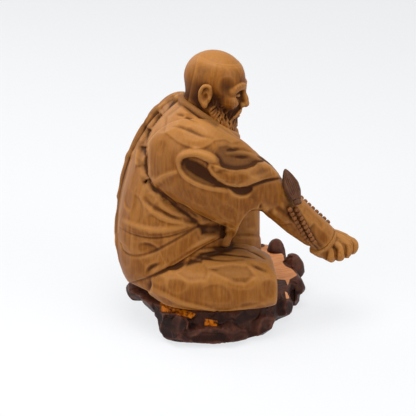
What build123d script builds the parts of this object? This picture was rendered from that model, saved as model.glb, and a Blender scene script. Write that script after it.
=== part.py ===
from build123d import *
import os
from math import copysign, cos, pi, sin

# Seated monk ornament, carved from joined wood blocks and set on a separate rock-shaped stand.
# Millimetres. +X is the way the figure faces, +Y is the figure's left, +Z is up.
# The origin lies on the underside of the stand, below the middle of the figure.

# Stand: outlines seen from above, in the same order from the back tip round by the figure's right.
stand_height = 33.0
stand_waist = 14.0
stand_ledge = 22.0
stand_foot_outline = [
    (-70, -16), (-83, -52), (-67, -80), (-20, -86), (26, -70), (47, -35),
    (65, 0), (62, 36), (40, 62), (4, 72), (-44, 64), (-70, 30),
]
stand_waist_outline = [
    (-74, -14), (-86, -50), (-67, -79), (-16, -85), (26, -67), (50, -34),
    (67, -1), (65, 38), (44, 65), (6, 75), (-50, 68), (-76, 32),
]
stand_ledge_outline = [
    (-103, -12), (-89, -42), (-65, -72), (-14, -79), (27, -62), (50, -34),
    (67, -1), (67, 36), (46, 66), (7, 76), (-50, 70), (-95, 28),
]
stand_top_outline = [
    (-112, -14), (-96, -42), (-62, -66), (-12, -74), (27, -56), (50, -32),
    (66, -2), (68, 34), (46, 64), (8, 74), (-50, 68), (-102, 28),
]
# Rock knobs on the rim: x, y, foot radius, top radius, height above the stand's top.
rock_knobs = [
    (48.5, 50, 18, 10, 14), (61, 22, 17, 9, 11), (56, -12, 13, 7, 4), (36, 62, 15, 9, 8),
]
knob_sides = 7
knob_root = 12.0

# Joined-block planes of the figure.
lap_height = 55.0
side_plane = 38.0
coronal_plane = -70.0
leg_plane_x = -2.0
leg_plane_y = 12.0
knee_height = 100.0
cuff_plane = 17.0
collar_back_x = -56.0
collar_back_height = 195.0
collar_tilt = 34.0

# Draped trunk: height above the stand's top, back x, front x, half width.
trunk_foot = (-92, 2, 42)
trunk_squareness = 2.3
trunk_sections = [
    (14, -114, -2, 56), (31, -119, -4, 61), (55, -120, -5, 62), (88, -116, -5, 61),
    (126, -105, -3, 59), (collar_back_height - 37, -89, 1, 55), (collar_back_height - 15, -72, -4, 46),
    (collar_back_height - 1, -56, -12, 32), (collar_back_height + 6, -49, -20, 20),
]

# Folded right leg under the robe: x, middle y, middle height above the stand's top, half width, half height.
thigh_sections = [
    (-98, -30, 27, 18, 12), (-66, -44, 26, 34, 23), (-18, -48, 27.5, 39, 25.5), (16, -50, 25.5, 36, 23.5),
    (35, -50, 20, 26, 17),
]
thigh_squareness = 2.4
thigh_bottom_squareness = 5.0
skirt_middle = (4, -15)
skirt_foot = (27, 30)
skirt_top = (18, 24)
skirt_height = 28.0

# Raised left leg under the robe: share of the knee's height, back x, front x, right y, left y.
leg_sections = [
    (0, -66, 34, 8, 64), (0.28, -68, 33, 8, 64), (0.58, -60, 32, 13, 62), (0.84, -40, 29, 16, 59), (1, -18, 20, 24, 52),
]

# Sleeves: x, distance of the middle from the centre plane, middle height, half width, half height.
right_sleeve_sections = [
    (-90, 38, 148, 10, 18), (-72, 50, 151, 22, 36), (-40, 58, 145, 29, 48), (-6, 62.5, 130, 24, 46), (17, 59, 127, 20.5, 24),
]
left_sleeve_sections = [
    (-84, 36, 142, 10, 18), (-66, 50, 142, 22, 34), (-36, 60, 134, 27, 44), (-10, 59, knee_height + 26, 20, 24),
    (6, 53, knee_height + 13.5, 13.5, 12),
]

# Turned-back loop and cuff of the right sleeve: x, y, height above the stand's top, radius.
sleeve_rim_sections = [
    (-64, -76, 155, 2), (-63, -76.5, 166, 3.2), (-55, -79.5, 170.5, 3.8), (-45, -82, 170, 4.2), (-35, -85, 166, 4), (-27, -87, 159, 2.5),
]
sleeve_band_sections = [
    (-37, -83.5, 153.5, 4.5), (-26, -83.5, 149, 6.5), (-13, -82.5, 146, 7.5), (1, -79, 145.5, 7.5), (14, -72, 145.5, 7),
    (26, -62, 141, 6),
]
sleeve_loop_sections = [
    (-61, -80, 159, 2.5), (-55, -83, 157, 5.5), (-47, -86.5, 152, 6), (-40, -89, 146, 4.5), (-33, -90, 141, 2),
]
sleeve_hollow_sections = [(-24, -87, 161, 2.5), (-15, -87, 159.5, 4.2), (-5, -84, 157, 4.2), (4, -80, 154.5, 2.2)]

# Borders of the mantle over the back: height above the stand's top, y, radius, how far the middle is sunk.
mantle_far_sections = [
    (176, 25, 3, 0.6), (158, 29, 3.6, 1), (134, 24, 3.6, 1), (108, 15, 3.6, 1), (82, 5, 3.6, 1), (56, -5, 3.6, 1), (30, -11, 3, 0.6),
]
mantle_near_sections = [(180, 4, 2.5, 0), (166, 5, 3.4, 0.4), (152, 0, 3.8, 0.6), (140, -12, 3.8, 0.6), (132, -24, 3.4, 0.4)]

# Bare right forearm, from the elbow to the wrist, and its fist.
elbow = (20.0, -58.0, 121.0)
wrist = (81.0, -48.7, 60.0)
# Distance along the arm from the elbow, half width, half height.
forearm_sections = [(-34, 18.5, 17.5), (0, 18.5, 17.5), (26, 18, 17), (58, 15.8, 15.2)]
wrist_size = (14.2, 14.4)
# Distance past the wrist, half width, half height.
fist_sections = [(8, 16.5, 15.5), (17, 17.5, 17), (26, 16.5, 16), (32, 11.5, 11)]
fist_squareness = 3.2

# Left hand lying on the raised knee: x, middle y, half width, half height.
hand_sections = [(6, 53, 12, 9.5), (16, 49, 13.5, 9), (26, 46, 11.5, 6.5), (32, 45, 7, 3.5)]
hand_squareness = 2.6

# Head, in its own frame with x along the gaze: height from the middle, back x, front x, half width.
head_middle = (-20.0, 0.0, collar_back_height + 14.5)
head_turn = -14.0
head_nod = 12.0
head_sections = [
    (31, -9, 8, 8), (27, -19, 17, 15.5), (18, -27, 25, 22), (6, -31, 28.5, 25.5), (-6, -30, 29, 26),
    (-18, -26, 29, 24.5), (-30, -20, 30, 22), (-43, -8, 31, 18), (-55, 5, 30, 12), (-62, 12, 26, 6.5),
]
nose_sections = [(4, 27, 30, 2.5), (-8, 27, 36, 4.5), (-15, 26, 34.5, 5.5), (-17, 26, 31, 4)]
ear_middle = (-5.0, 25.0, -8.0)
ear_size = (6.0, 4.5, 11.0)
neck_tenon_radius = 12.0
neck_tenon_length = 18.0
neck_tenon_from_nape = 24.0

# Rosary on the forearm.
bead_radius = 2.45
bead_clearance = 0.4
# Number of beads, then places along the arm and angles round it, in degrees, at the row's start and end.
# Angle 0 is the top of the arm, and 90 is its outer side.
bead_rows = {
    "bead_row_upper": (9, 29.3, 71.0, 74.0, 115.0),
    "bead_row_lower": (9, 23.5, 64.0, 86.0, 126.0),
    "bead_row_far": (8, 43.5, 83.5, -39.0, -36.0),
}
# Tassel: place along the arm, angle round it and lift off the skin, at the root and at the tip.
tassel_root_place = (21.0, 60.0, 7.3)
tassel_tip_place = (1.3, 3.0, 8.5)
tassel_width = 9.0
tassel_thickness = 3.6
binding_radius = 4.0
binding_length = 4.5

# Dowels and pegs.
dowel_radius = 4.0
dowel_length = 28.0
dowel_clearance = 0.08
dowel_end_room = 0.5
small_dowel_radius = 3.0
small_dowel_length = 20.0
peg_radius = 5.0
peg_in_stand = 16.0
peg_in_figure = 12.0
peg_clearance = 0.25
peg_places = [(-72, 0), (-22, -16)]
trunk_dowel_x = (-94.0, -34.0)
coronal_dowel_heights = (80.0, 135.0)
side_dowel_places = [(-80.0, 95.0), (-40.0, 100.0)]
leg_dowel_heights = (18.0, 42.0)
leg_dowel_y = 34.0

# Joints between pieces that only touch.
skin_clearance = 0.15

# Heights above the floor.
lap_top = stand_height + lap_height
knee_top = stand_height + knee_height


def oval(middle_u, middle_v, half_u, half_v, squareness=2.0, bottom_squareness=None, count=12):
    """Points round a closed oval; a squareness of 2 is an ellipse, and more is boxier."""
    points = []
    for step in range(count):
        turn = 2 * pi * step / count
        along, across = cos(turn), sin(turn)
        power = 2 / (bottom_squareness if bottom_squareness and across < 0 else squareness)
        points.append((
            middle_u + half_u * copysign(abs(along) ** power, along),
            middle_v + half_v * copysign(abs(across) ** power, across),
        ))
    return points


def back_of_trunk(height, y, sunk):
    """A point on the trunk's back, sunk below its cloth, at a height above the stand's top."""
    for (low, *first), (high, *second) in zip(trunk_sections, trunk_sections[1:]):
        if height <= high:
            break
    share = (height - low) / (high - low)
    back, front, half_width = (a + share * (b - a) for a, b in zip(first, second))
    reach = (1 - (abs(y) / half_width) ** trunk_squareness) ** (1 / trunk_squareness)
    return Vector((back + front) / 2 - reach * (front - back) / 2 + sunk, y, stand_height + height)


def headings(points):
    """The way that a path runs at each of its points."""
    ahead, behind = [*points[1:], points[-1]], [points[0], *points[:-1]]
    return [(a - b).normalized() for a, b in zip(ahead, behind)]


def raised(point):
    """A point given above the stand's top, as a point above the floor."""
    return Vector(point[0], point[1], point[2] + stand_height)


# Planes that the figure's blocks meet on; each plane's normal points to the side named after it.
above_lap = Plane(origin=(0, 0, lap_top), z_dir=(0, 0, 1))
inward_of_right = Plane(origin=(0, -side_plane, 0), z_dir=(0, 1, 0))
inward_of_left = Plane(origin=(0, side_plane, 0), z_dir=(0, -1, 0))
ahead_of_back = Plane(origin=(coronal_plane, 0, 0), z_dir=(1, 0, 0))
ahead_of_cuff = Plane(origin=(cuff_plane, 0, 0), z_dir=(1, 0, 0))
ahead_of_lap = Plane(origin=(leg_plane_x, 0, 0), z_dir=(1, 0, 0))
left_of_lap = Plane(origin=(0, leg_plane_y, 0), z_dir=(0, 1, 0))
above_knee = Plane(origin=(0, 0, knee_top), z_dir=(0, 0, 1))
collar_origin = raised((collar_back_x, 0, collar_back_height))
collar = Plane(origin=collar_origin, x_dir=(1, 0, 0), z_dir=(0, 0, 1)).rotated((0, collar_tilt, 0))
collar_lifted = collar.offset(skin_clearance)

# Frame along the forearm: local z runs from elbow to wrist, local x points to the figure's left.
elbow_point, wrist_point = raised(elbow), raised(wrist)
arm_length = (wrist_point - elbow_point).length
arm_direction = (wrist_point - elbow_point).normalized()
arm_side = Vector(0, 0, 1).cross(arm_direction).normalized()
arm = Plane(origin=elbow_point, x_dir=arm_side, z_dir=arm_direction)

# Frame of the head: local x along the gaze, local z out of the crown.
head_frame = Plane(origin=raised(head_middle), x_dir=(1, 0, 0), z_dir=(0, 0, 1)).rotated((0, head_nod, head_turn))

# Where the dowels stand, each as a place and a direction.
trunk_dowel_places = [Location((x, 0, lap_top)) for x in trunk_dowel_x]
coronal_dowel_places = [Location((coronal_plane, 0, stand_height + h), (0, 90, 0)) for h in coronal_dowel_heights]
right_dowel_places = [Location((x, -side_plane, stand_height + h), (90, 0, 0)) for x, h in side_dowel_places]
left_dowel_places = [Location((x, side_plane, stand_height + h), (90, 0, 0)) for x, h in side_dowel_places]
leg_dowel_places = [Location((leg_plane_x, leg_dowel_y, stand_height + h), (0, 90, 0)) for h in leg_dowel_heights]
cuff_middle = elbow_point + arm_direction * ((cuff_plane - elbow_point.X) / arm_direction.X)
cuff_dowel_place = Plane(origin=cuff_middle, x_dir=arm_side, z_dir=arm_direction).location
wrist_dowel_place = Plane(origin=wrist_point, x_dir=arm_side, z_dir=arm_direction).location
hand_root_x, hand_root_y = hand_sections[0][0], hand_sections[0][1]
hand_middle_height = knee_top + skin_clearance + hand_sections[0][3]
hand_dowel_place = Location((hand_root_x, hand_root_y, hand_middle_height), (0, 90, 0))
hole_radius = dowel_radius + dowel_clearance
hole_length = dowel_length + 2 * dowel_end_room
small_hole_radius = small_dowel_radius + dowel_clearance
small_hole_length = small_dowel_length + 2 * dowel_end_room

# Whole draped figure below the neck, cut into blocks further down.
with BuildPart() as robe_form:
    foot_back, foot_front, foot_half_width = trunk_foot
    hem_back, hem_front, hem_half_width = trunk_sections[0][1:]
    for level, back, front, half_width in ((0, *trunk_foot), trunk_sections[0]):
        with BuildSketch(Plane.XY.offset(stand_height + level)):
            with BuildLine():
                Spline(*oval((back + front) / 2, 0, (front - back) / 2, half_width, trunk_squareness), periodic=True)
            make_face()
    loft()
    for height, back, front, half_width in trunk_sections:
        with BuildSketch(Plane.XY.offset(stand_height + height)):
            with BuildLine():
                Spline(*oval((back + front) / 2, 0, (front - back) / 2, half_width, trunk_squareness), periodic=True)
            make_face()
    loft()
    for x, y, height, half_width, half_height in thigh_sections:
        with BuildSketch(Plane(origin=(x, y, stand_height + height), x_dir=(0, 1, 0), z_dir=(1, 0, 0))):
            with BuildLine():
                Spline(
                    *oval(0, 0, half_width, half_height, thigh_squareness, thigh_bottom_squareness, 16),
                    periodic=True,
                )
            make_face()
    loft()
    for level, (half_x, half_y) in ((0, skirt_foot), (skirt_height, skirt_top)):
        with BuildSketch(Plane.XY.offset(stand_height + level)):
            with BuildLine():
                Spline(*oval(*skirt_middle, half_x, half_y, 2.6), periodic=True)
            make_face()
    loft()
    for share, back, front, right, left in leg_sections:
        with BuildSketch(Plane.XY.offset(stand_height + share * knee_height)):
            with BuildLine():
                Spline(
                    *oval((back + front) / 2, (right + left) / 2, (front - back) / 2, (left - right) / 2, 2.5),
                    periodic=True,
                )
            make_face()
    loft()
    for side, sections in ((-1, right_sleeve_sections), (1, left_sleeve_sections)):
        for x, out, height, half_width, half_height in sections:
            with BuildSketch(Plane(origin=(x, side * out, stand_height + height), x_dir=(0, 1, 0), z_dir=(1, 0, 0))):
                with BuildLine():
                    Spline(*oval(0, 0, half_width, half_height), periodic=True)
                make_face()
        loft()
    for sections in (mantle_far_sections, mantle_near_sections):
        points = [back_of_trunk(height, y, sunk) for height, y, _, sunk in sections]
        for point, heading, section in zip(points, headings(points), sections):
            with BuildSketch(Plane(origin=point, x_dir=heading.cross(Vector(1, 0, 0)), z_dir=heading)):
                Circle(section[2])
        loft()

# Stand: a rock with an overhanging back ledge and knobs along its rim.
with BuildPart() as rock_stand:
    for level, outline in (
        (0, stand_foot_outline), (stand_waist, stand_waist_outline),
        (stand_ledge, stand_ledge_outline), (stand_height, stand_top_outline),
    ):
        with BuildSketch(Plane.XY.offset(level)):
            Polygon(*outline, align=None)
    loft(ruled=True)
    for x, y, foot_radius, top_radius, rise in rock_knobs:
        for level, radius in ((stand_height - knob_root, foot_radius), (stand_height + rise, top_radius)):
            with BuildSketch(Plane.XY.offset(level)):
                with Locations((x, y)):
                    RegularPolygon(radius, knob_sides)
        loft(ruled=True)
    with Locations(*[(x, y, stand_height - peg_in_stand) for x, y in peg_places]):
        Cylinder(
            peg_radius + dowel_clearance, peg_in_stand,
            align=(Align.CENTER, Align.CENTER, Align.MIN), mode=Mode.SUBTRACT,
        )
rock_stand.part.label = "rock_stand"

with BuildPart() as seat_pegs:
    with Locations(*[(x, y, stand_height - peg_in_stand) for x, y in peg_places]):
        Cylinder(peg_radius, peg_in_stand + peg_in_figure, align=(Align.CENTER, Align.CENTER, Align.MIN))
    chamfer(seat_pegs.edges().group_by(Axis.Z)[-1], peg_radius / 6)
seat_pegs.part.label = "seat_pegs"

# Everything of the figure below and above the lap plane.
with BuildPart() as lower_form:
    add(robe_form.part)
    split(bisect_by=above_lap, keep=Keep.BOTTOM)

with BuildPart() as upper_form:
    add(robe_form.part)
    split(bisect_by=above_lap, keep=Keep.TOP)

# The upper part less the room of the raised leg's block.
with BuildPart() as over_knee_form:
    add(upper_form.part)
    split(bisect_by=ahead_of_lap, keep=Keep.TOP)
    split(bisect_by=above_knee, keep=Keep.TOP)

with BuildPart() as trunk_and_arms_form:
    add(upper_form.part)
    split(bisect_by=ahead_of_lap, keep=Keep.BOTTOM)
    add(over_knee_form.part)

# Room of the raised leg's block, which stands in front of the lap and left of the middle.
leg_block_size = 2 * knee_height
leg_corner = (leg_plane_x, leg_plane_y, stand_height + knee_height)

# Lap block: the seat, the folded right leg and the skirt between the knees.
with BuildPart() as lap_block:
    add(lower_form.part)
    with Locations(leg_corner):
        Box(
            leg_block_size, leg_block_size, leg_block_size,
            align=(Align.MIN, Align.MIN, Align.MAX), mode=Mode.SUBTRACT,
        )
    with Locations(*[(x, y, stand_height) for x, y in peg_places]):
        Cylinder(
            peg_radius + peg_clearance, peg_in_figure + dowel_end_room,
            align=(Align.CENTER, Align.CENTER, Align.MIN), mode=Mode.SUBTRACT,
        )
    with Locations(*trunk_dowel_places, *leg_dowel_places):
        Cylinder(hole_radius, hole_length, mode=Mode.SUBTRACT)
lap_block.part.label = "lap_block"

# Raised left leg under its cloth.
with BuildPart() as left_leg:
    add(robe_form.part)
    split(bisect_by=ahead_of_lap, keep=Keep.TOP)
    split(bisect_by=left_of_lap, keep=Keep.TOP)
    split(bisect_by=above_knee, keep=Keep.BOTTOM)
    with Locations(*leg_dowel_places):
        Cylinder(hole_radius, hole_length, mode=Mode.SUBTRACT)
left_leg.part.label = "left_leg"

# Middle of the trunk, in a front and a back half.
with BuildPart() as trunk_middle:
    add(trunk_and_arms_form.part)
    split(bisect_by=inward_of_right, keep=Keep.TOP)
    split(bisect_by=inward_of_left, keep=Keep.TOP)
    split(bisect_by=collar, keep=Keep.BOTTOM)
    with Locations(*trunk_dowel_places, *coronal_dowel_places, *right_dowel_places, *left_dowel_places):
        Cylinder(hole_radius, hole_length, mode=Mode.SUBTRACT)
    with Locations((collar * Location((neck_tenon_from_nape, 0, 0)))):
        Cylinder(
            neck_tenon_radius + dowel_clearance, neck_tenon_length + dowel_end_room,
            align=(Align.CENTER, Align.CENTER, Align.MAX), mode=Mode.SUBTRACT,
        )

with BuildPart() as trunk_front:
    add(trunk_middle.part)
    split(bisect_by=ahead_of_back, keep=Keep.TOP)
trunk_front.part.label = "trunk_front"

with BuildPart() as trunk_back:
    add(trunk_middle.part)
    split(bisect_by=ahead_of_back, keep=Keep.BOTTOM)
trunk_back.part.label = "trunk_back"

# Right side block: shoulder, upper arm and hanging sleeve.
with BuildPart() as right_sleeve:
    add(upper_form.part)
    split(bisect_by=inward_of_right, keep=Keep.BOTTOM)
    for sections, mode in (
        (sleeve_loop_sections, Mode.SUBTRACT), (sleeve_hollow_sections, Mode.SUBTRACT),
        (sleeve_rim_sections, Mode.ADD), (sleeve_band_sections, Mode.ADD),
    ):
        points = [raised(section[:3]) for section in sections]
        for point, heading, section in zip(points, headings(points), sections):
            with BuildSketch(Plane(origin=point, x_dir=heading.cross(Vector(0, 1, 0)), z_dir=heading)):
                Circle(section[3])
        loft(mode=mode)
    split(bisect_by=ahead_of_cuff, keep=Keep.BOTTOM)
    with Locations(*right_dowel_places, cuff_dowel_place):
        Cylinder(hole_radius, hole_length, mode=Mode.SUBTRACT)
right_sleeve.part.label = "right_sleeve"

# Left side block: shoulder, bent arm and sleeve, which lies over the raised knee.
with BuildPart() as left_sleeve:
    add(trunk_and_arms_form.part)
    split(bisect_by=inward_of_left, keep=Keep.BOTTOM)
    with Locations(*left_dowel_places):
        Cylinder(hole_radius, hole_length, mode=Mode.SUBTRACT)
    with Locations(hand_dowel_place):
        Cylinder(small_hole_radius, small_hole_length, mode=Mode.SUBTRACT)
left_sleeve.part.label = "left_sleeve"

# Bare right forearm.
with BuildPart() as right_forearm:
    for along, half_width, half_height in [*forearm_sections, (arm_length, *wrist_size)]:
        with BuildSketch(arm.offset(along)):
            with BuildLine():
                Spline(*oval(0, 0, half_width, half_height), periodic=True)
            make_face()
    loft()
    split(bisect_by=ahead_of_cuff, keep=Keep.TOP)
    with Locations(cuff_dowel_place):
        Cylinder(hole_radius, hole_length, mode=Mode.SUBTRACT)
    with Locations(wrist_dowel_place):
        Cylinder(small_hole_radius, small_hole_length, mode=Mode.SUBTRACT)
right_forearm.part.label = "right_forearm"

# Clenched right fist.
with BuildPart() as right_fist:
    with BuildSketch(arm.offset(arm_length)):
        with BuildLine():
            Spline(*oval(0, 0, *wrist_size), periodic=True)
        make_face()
    for past_wrist, half_width, half_height in fist_sections:
        with BuildSketch(arm.offset(arm_length + past_wrist)):
            with BuildLine():
                Spline(*oval(0, 0, half_width, half_height, fist_squareness), periodic=True)
            make_face()
    loft()
    with Locations(wrist_dowel_place):
        Cylinder(small_hole_radius, small_hole_length, mode=Mode.SUBTRACT)
right_fist.part.label = "right_fist"

# Left hand, palm down on the knee.
with BuildPart() as left_hand:
    for x, y, half_width, half_height in hand_sections:
        height = knee_top + skin_clearance + half_height
        with BuildSketch(Plane(origin=(x, y, height), x_dir=(0, 1, 0), z_dir=(1, 0, 0))):
            with BuildLine():
                Spline(*oval(0, 0, half_width, half_height, hand_squareness), periodic=True)
            make_face()
    loft()
    with Locations(hand_dowel_place):
        Cylinder(small_hole_radius, small_hole_length, mode=Mode.SUBTRACT)
left_hand.part.label = "left_hand"

# Head with its beard, ears and neck tenon.
with BuildPart() as head:
    for height, back, front, half_width in head_sections:
        with BuildSketch(head_frame.offset(height)):
            with BuildLine():
                Spline(*oval((back + front) / 2, 0, (front - back) / 2, half_width), periodic=True)
            make_face()
    loft()
    for height, back, front, half_width in nose_sections:
        with BuildSketch(head_frame.offset(height)):
            with BuildLine():
                Spline(*oval((back + front) / 2, 0, (front - back) / 2, half_width), periodic=True)
            make_face()
    loft()
    ear_x, ear_y, ear_z = ear_middle
    ear_depth, ear_thickness, ear_half_height = ear_size
    for side in (-1, 1):
        for level, share in ((-1.0, 0.35), (-0.5, 0.75), (0.3, 1.0), (1.0, 0.5)):
            with BuildSketch(head_frame.offset(ear_z + level * ear_half_height)):
                with BuildLine():
                    Spline(*oval(ear_x, side * ear_y, ear_depth * share, ear_thickness * share), periodic=True)
                make_face()
        loft()
    split(bisect_by=collar_lifted, keep=Keep.TOP)
    with Locations((collar_lifted * Location((neck_tenon_from_nape, 0, 0)))):
        Cylinder(neck_tenon_radius, neck_tenon_length, align=(Align.CENTER, Align.CENTER, Align.MAX))
head.part.label = "head"

# Rosary beads, in rows along the forearm; each bead rests on the arm's skin.
arm_profile = [*forearm_sections, (arm_length, *wrist_size)]


def arm_radius(along, turn):
    """Distance from the forearm's axis to its skin, part way along and turned round from the top."""
    for (start, wide, high), (stop, next_wide, next_high) in zip(arm_profile, arm_profile[1:]):
        if along <= stop:
            share = (along - start) / (stop - start)
            break
    else:
        share = 1.0
    wide_here = wide + share * (next_wide - wide)
    high_here = high + share * (next_high - high)
    return 1 / ((sin(turn) / wide_here) ** 2 + (cos(turn) / high_here) ** 2) ** 0.5


def on_arm(along, degrees, lift):
    """A point lifted off the forearm's skin; 0 degrees is the top of the arm, and 90 its outer side."""
    turn = degrees * pi / 180
    reach = arm_radius(along, turn) + lift
    return arm.from_local_coords(Vector(-sin(turn) * reach, cos(turn) * reach, along))


bead_nodes = []
for row_name, (count, first_place, last_place, first_angle, last_angle) in bead_rows.items():
    with BuildPart() as bead_row:
        for number in range(count):
            share = number / (count - 1)
            place = first_place + (last_place - first_place) * share
            angle = first_angle + (last_angle - first_angle) * share
            with Locations(on_arm(place, angle, bead_radius + bead_clearance)):
                Sphere(bead_radius)
    bead_row.part.label = row_name
    bead_nodes.append(bead_row)

# Dark tassel, lying over the top of the arm behind the beads, and the binding at its root.
tassel_root, tassel_tip = on_arm(*tassel_root_place), on_arm(*tassel_tip_place)
tassel_span = tassel_tip - tassel_root
tassel_out = tassel_root - (elbow_point + arm_direction * tassel_root_place[0])
tassel_frame = Plane(origin=tassel_root, x_dir=tassel_span.cross(tassel_out), z_dir=tassel_span)
with BuildPart() as tassel_binding:
    with Locations(tassel_frame.location):
        Cylinder(binding_radius, binding_length, align=(Align.CENTER, Align.CENTER, Align.MAX))
    fillet(tassel_binding.edges().filter_by(GeomType.CIRCLE), binding_length / 4)
tassel_binding.part.label = "tassel_binding"

with BuildPart() as tassel:
    for share, swell in ((0.0, 0.5), (0.3, 0.95), (0.55, 1.0), (0.8, 0.6), (1.0, 0.12)):
        with BuildSketch(tassel_frame.offset(skin_clearance + share * tassel_span.length)):
            with BuildLine():
                Spline(*oval(0, 0, tassel_width * swell, tassel_thickness * swell), periodic=True)
            make_face()
    loft()
tassel.part.label = "tassel"

# Dowels that hold the blocks together.
with BuildPart() as trunk_dowels:
    with Locations(*trunk_dowel_places):
        Cylinder(dowel_radius, dowel_length)
trunk_dowels.part.label = "trunk_dowels"

with BuildPart() as coronal_dowels:
    with Locations(*coronal_dowel_places):
        Cylinder(dowel_radius, dowel_length)
coronal_dowels.part.label = "coronal_dowels"

with BuildPart() as sleeve_dowels:
    with Locations(*right_dowel_places, *left_dowel_places):
        Cylinder(dowel_radius, dowel_length)
sleeve_dowels.part.label = "sleeve_dowels"

with BuildPart() as leg_dowels:
    with Locations(*leg_dowel_places):
        Cylinder(dowel_radius, dowel_length)
leg_dowels.part.label = "leg_dowels"

with BuildPart() as elbow_dowel:
    with Locations(cuff_dowel_place):
        Cylinder(dowel_radius, dowel_length)
elbow_dowel.part.label = "elbow_dowel"

with BuildPart() as hand_dowels:
    with Locations(wrist_dowel_place, hand_dowel_place):
        Cylinder(small_dowel_radius, small_dowel_length)
hand_dowels.part.label = "hand_dowels"

os.makedirs("parts", exist_ok=True)
for piece in (
    rock_stand, seat_pegs, lap_block, left_leg, trunk_front, trunk_back, right_sleeve, left_sleeve,
    right_forearm, right_fist, left_hand, head, tassel, tassel_binding, *bead_nodes,
    trunk_dowels, coronal_dowels, sleeve_dowels, leg_dowels, elbow_dowel, hand_dowels,
):
    export_step(piece.part, f"parts/{piece.part.label}.step")
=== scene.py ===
"""Seated monk carved in wood on a rock-shaped stand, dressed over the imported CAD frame."""

import logging
import math
from dataclasses import dataclass, field
from enum import Enum
from typing import Iterable, Iterator, Sequence

import bmesh
import bpy
import numpy as np
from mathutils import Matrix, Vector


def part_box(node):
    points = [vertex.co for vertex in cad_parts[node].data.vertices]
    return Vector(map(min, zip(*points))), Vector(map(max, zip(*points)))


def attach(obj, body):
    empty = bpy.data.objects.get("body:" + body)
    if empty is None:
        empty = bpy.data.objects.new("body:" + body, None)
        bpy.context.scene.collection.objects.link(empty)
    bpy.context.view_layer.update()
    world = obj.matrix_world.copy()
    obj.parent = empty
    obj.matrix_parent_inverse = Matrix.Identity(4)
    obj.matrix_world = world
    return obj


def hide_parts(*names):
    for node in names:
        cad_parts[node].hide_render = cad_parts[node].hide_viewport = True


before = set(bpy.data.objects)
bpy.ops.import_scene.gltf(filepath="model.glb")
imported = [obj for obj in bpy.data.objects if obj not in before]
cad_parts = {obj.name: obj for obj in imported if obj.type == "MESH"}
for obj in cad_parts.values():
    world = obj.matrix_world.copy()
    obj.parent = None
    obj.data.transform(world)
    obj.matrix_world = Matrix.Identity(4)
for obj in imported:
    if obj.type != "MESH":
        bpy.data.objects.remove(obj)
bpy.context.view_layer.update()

import openvdb
from mathutils import Vector

MM = 0.001
LOG = logging.getLogger("carving")

Triple = tuple[float, float, float]
Pair = tuple[float, float]
Path = Sequence[Sequence[float]]
Spread = float | Sequence[float]
Array = np.ndarray
Item = bpy.types.Object
Material = bpy.types.Material
DOWELS = (
    "seat_pegs", "trunk_dowels", "coronal_dowels", "sleeve_dowels", "leg_dowels", "elbow_dowel",
    "hand_dowels",
)
SEEING_RAYS = ("Is Camera Ray", "Is Glossy Ray", "Is Transmission Ray")


class Slot(Enum):
    """Material slots of the record."""

    CARVED = "carved_wood"
    STAINED = "stained_wood"
    DARK = "dark_wood"


class Body(Enum):
    """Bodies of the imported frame."""

    STAND = "stand"
    FIGURE = "figure"


class Profile(Enum):
    """Cross-sections of a carved line."""

    ROUND = "round"
    CREASE = "crease"
    LEDGE = "ledge"


class Layer(Enum):
    """Numbers stored at a piece's points for its finish to read."""

    # Painted shade: darkening put into the colour of hollows, recesses and areas turned from the light.
    PAINTED_SHADE = "painted_shade"
    # Pale worn edges on crests, together with painted highlights.
    EDGE_WEAR_AND_HIGHLIGHT = "edge_wear_and_highlight"
    BARE = "bare"
    ORANGE = "orange"


# Node trees


@dataclass
class Value:
    """A node's output that takes part in Python expressions."""

    tree: "Nodes"
    socket: bpy.types.NodeSocket

    def _math(self, operation: str, first: object, second: object) -> "Value":
        """One Math node."""
        return self.tree.node("ShaderNodeMath", {"operation": operation}, {0: first, 1: second})

    def __add__(self, other: object) -> "Value":
        """Sum."""
        return self._math("ADD", self, other)

    __radd__ = __add__

    def __sub__(self, other: object) -> "Value":
        """Difference."""
        return self._math("SUBTRACT", self, other)

    def __rsub__(self, other: object) -> "Value":
        """Reflected difference."""
        return self._math("SUBTRACT", other, self)

    def __mul__(self, other: object) -> "Value":
        """Product."""
        return self._math("MULTIPLY", self, other)

    __rmul__ = __mul__

    def __pow__(self, other: object) -> "Value":
        """Power."""
        return self._math("POWER", self, other)

    def ramp(self, low: float, high: float) -> "Value":
        """The value rescaled so that low becomes 0 and high becomes 1, and held there."""
        inputs = {"Value": self, "From Min": low, "From Max": high}
        return self.tree.node("ShaderNodeMapRange", {"clamp": True}, inputs)


class Nodes:
    """A node tree with one method that makes every node."""

    def __init__(self, tree: bpy.types.NodeTree) -> None:
        """Start from an emptied tree."""
        self.tree = tree
        tree.nodes.clear()

    def node(
        self, kind: str, settings: dict | None = None, inputs: dict | None = None, output: object = 0
    ) -> Value:
        """Add a node.

        Args:
            kind: The node's type.
            settings: Attributes, set first.
            inputs: Socket values or links, by name or number.
            output: Which output is returned, by name or number.

        Returns:
            The chosen output, ready for expressions.
        """
        made = self.tree.nodes.new(kind)
        for key, value in (settings or {}).items():
            setattr(made, key, value)
        for key, value in (inputs or {}).items():
            if isinstance(value, Value):
                self.tree.links.new(value.socket, made.inputs[key])
            else:
                made.inputs[key].default_value = value
        return Value(self, made.outputs[output] if made.outputs else None)

    def seen(self) -> Value:
        """1 for rays that show the camera a surface, straight, mirrored or through glass."""
        rays = [self.node("ShaderNodeLightPath", {}, {}, kind) for kind in SEEING_RAYS]
        return (rays[0] + rays[1] + rays[2]).ramp(0.0, 1.0)

    def blend(self, share: Value, first: Value, second: Value) -> Value:
        """Two shaders mixed, by the share of the second."""
        return self.node("ShaderNodeMixShader", {}, {0: share, 1: first, 2: second})


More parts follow.
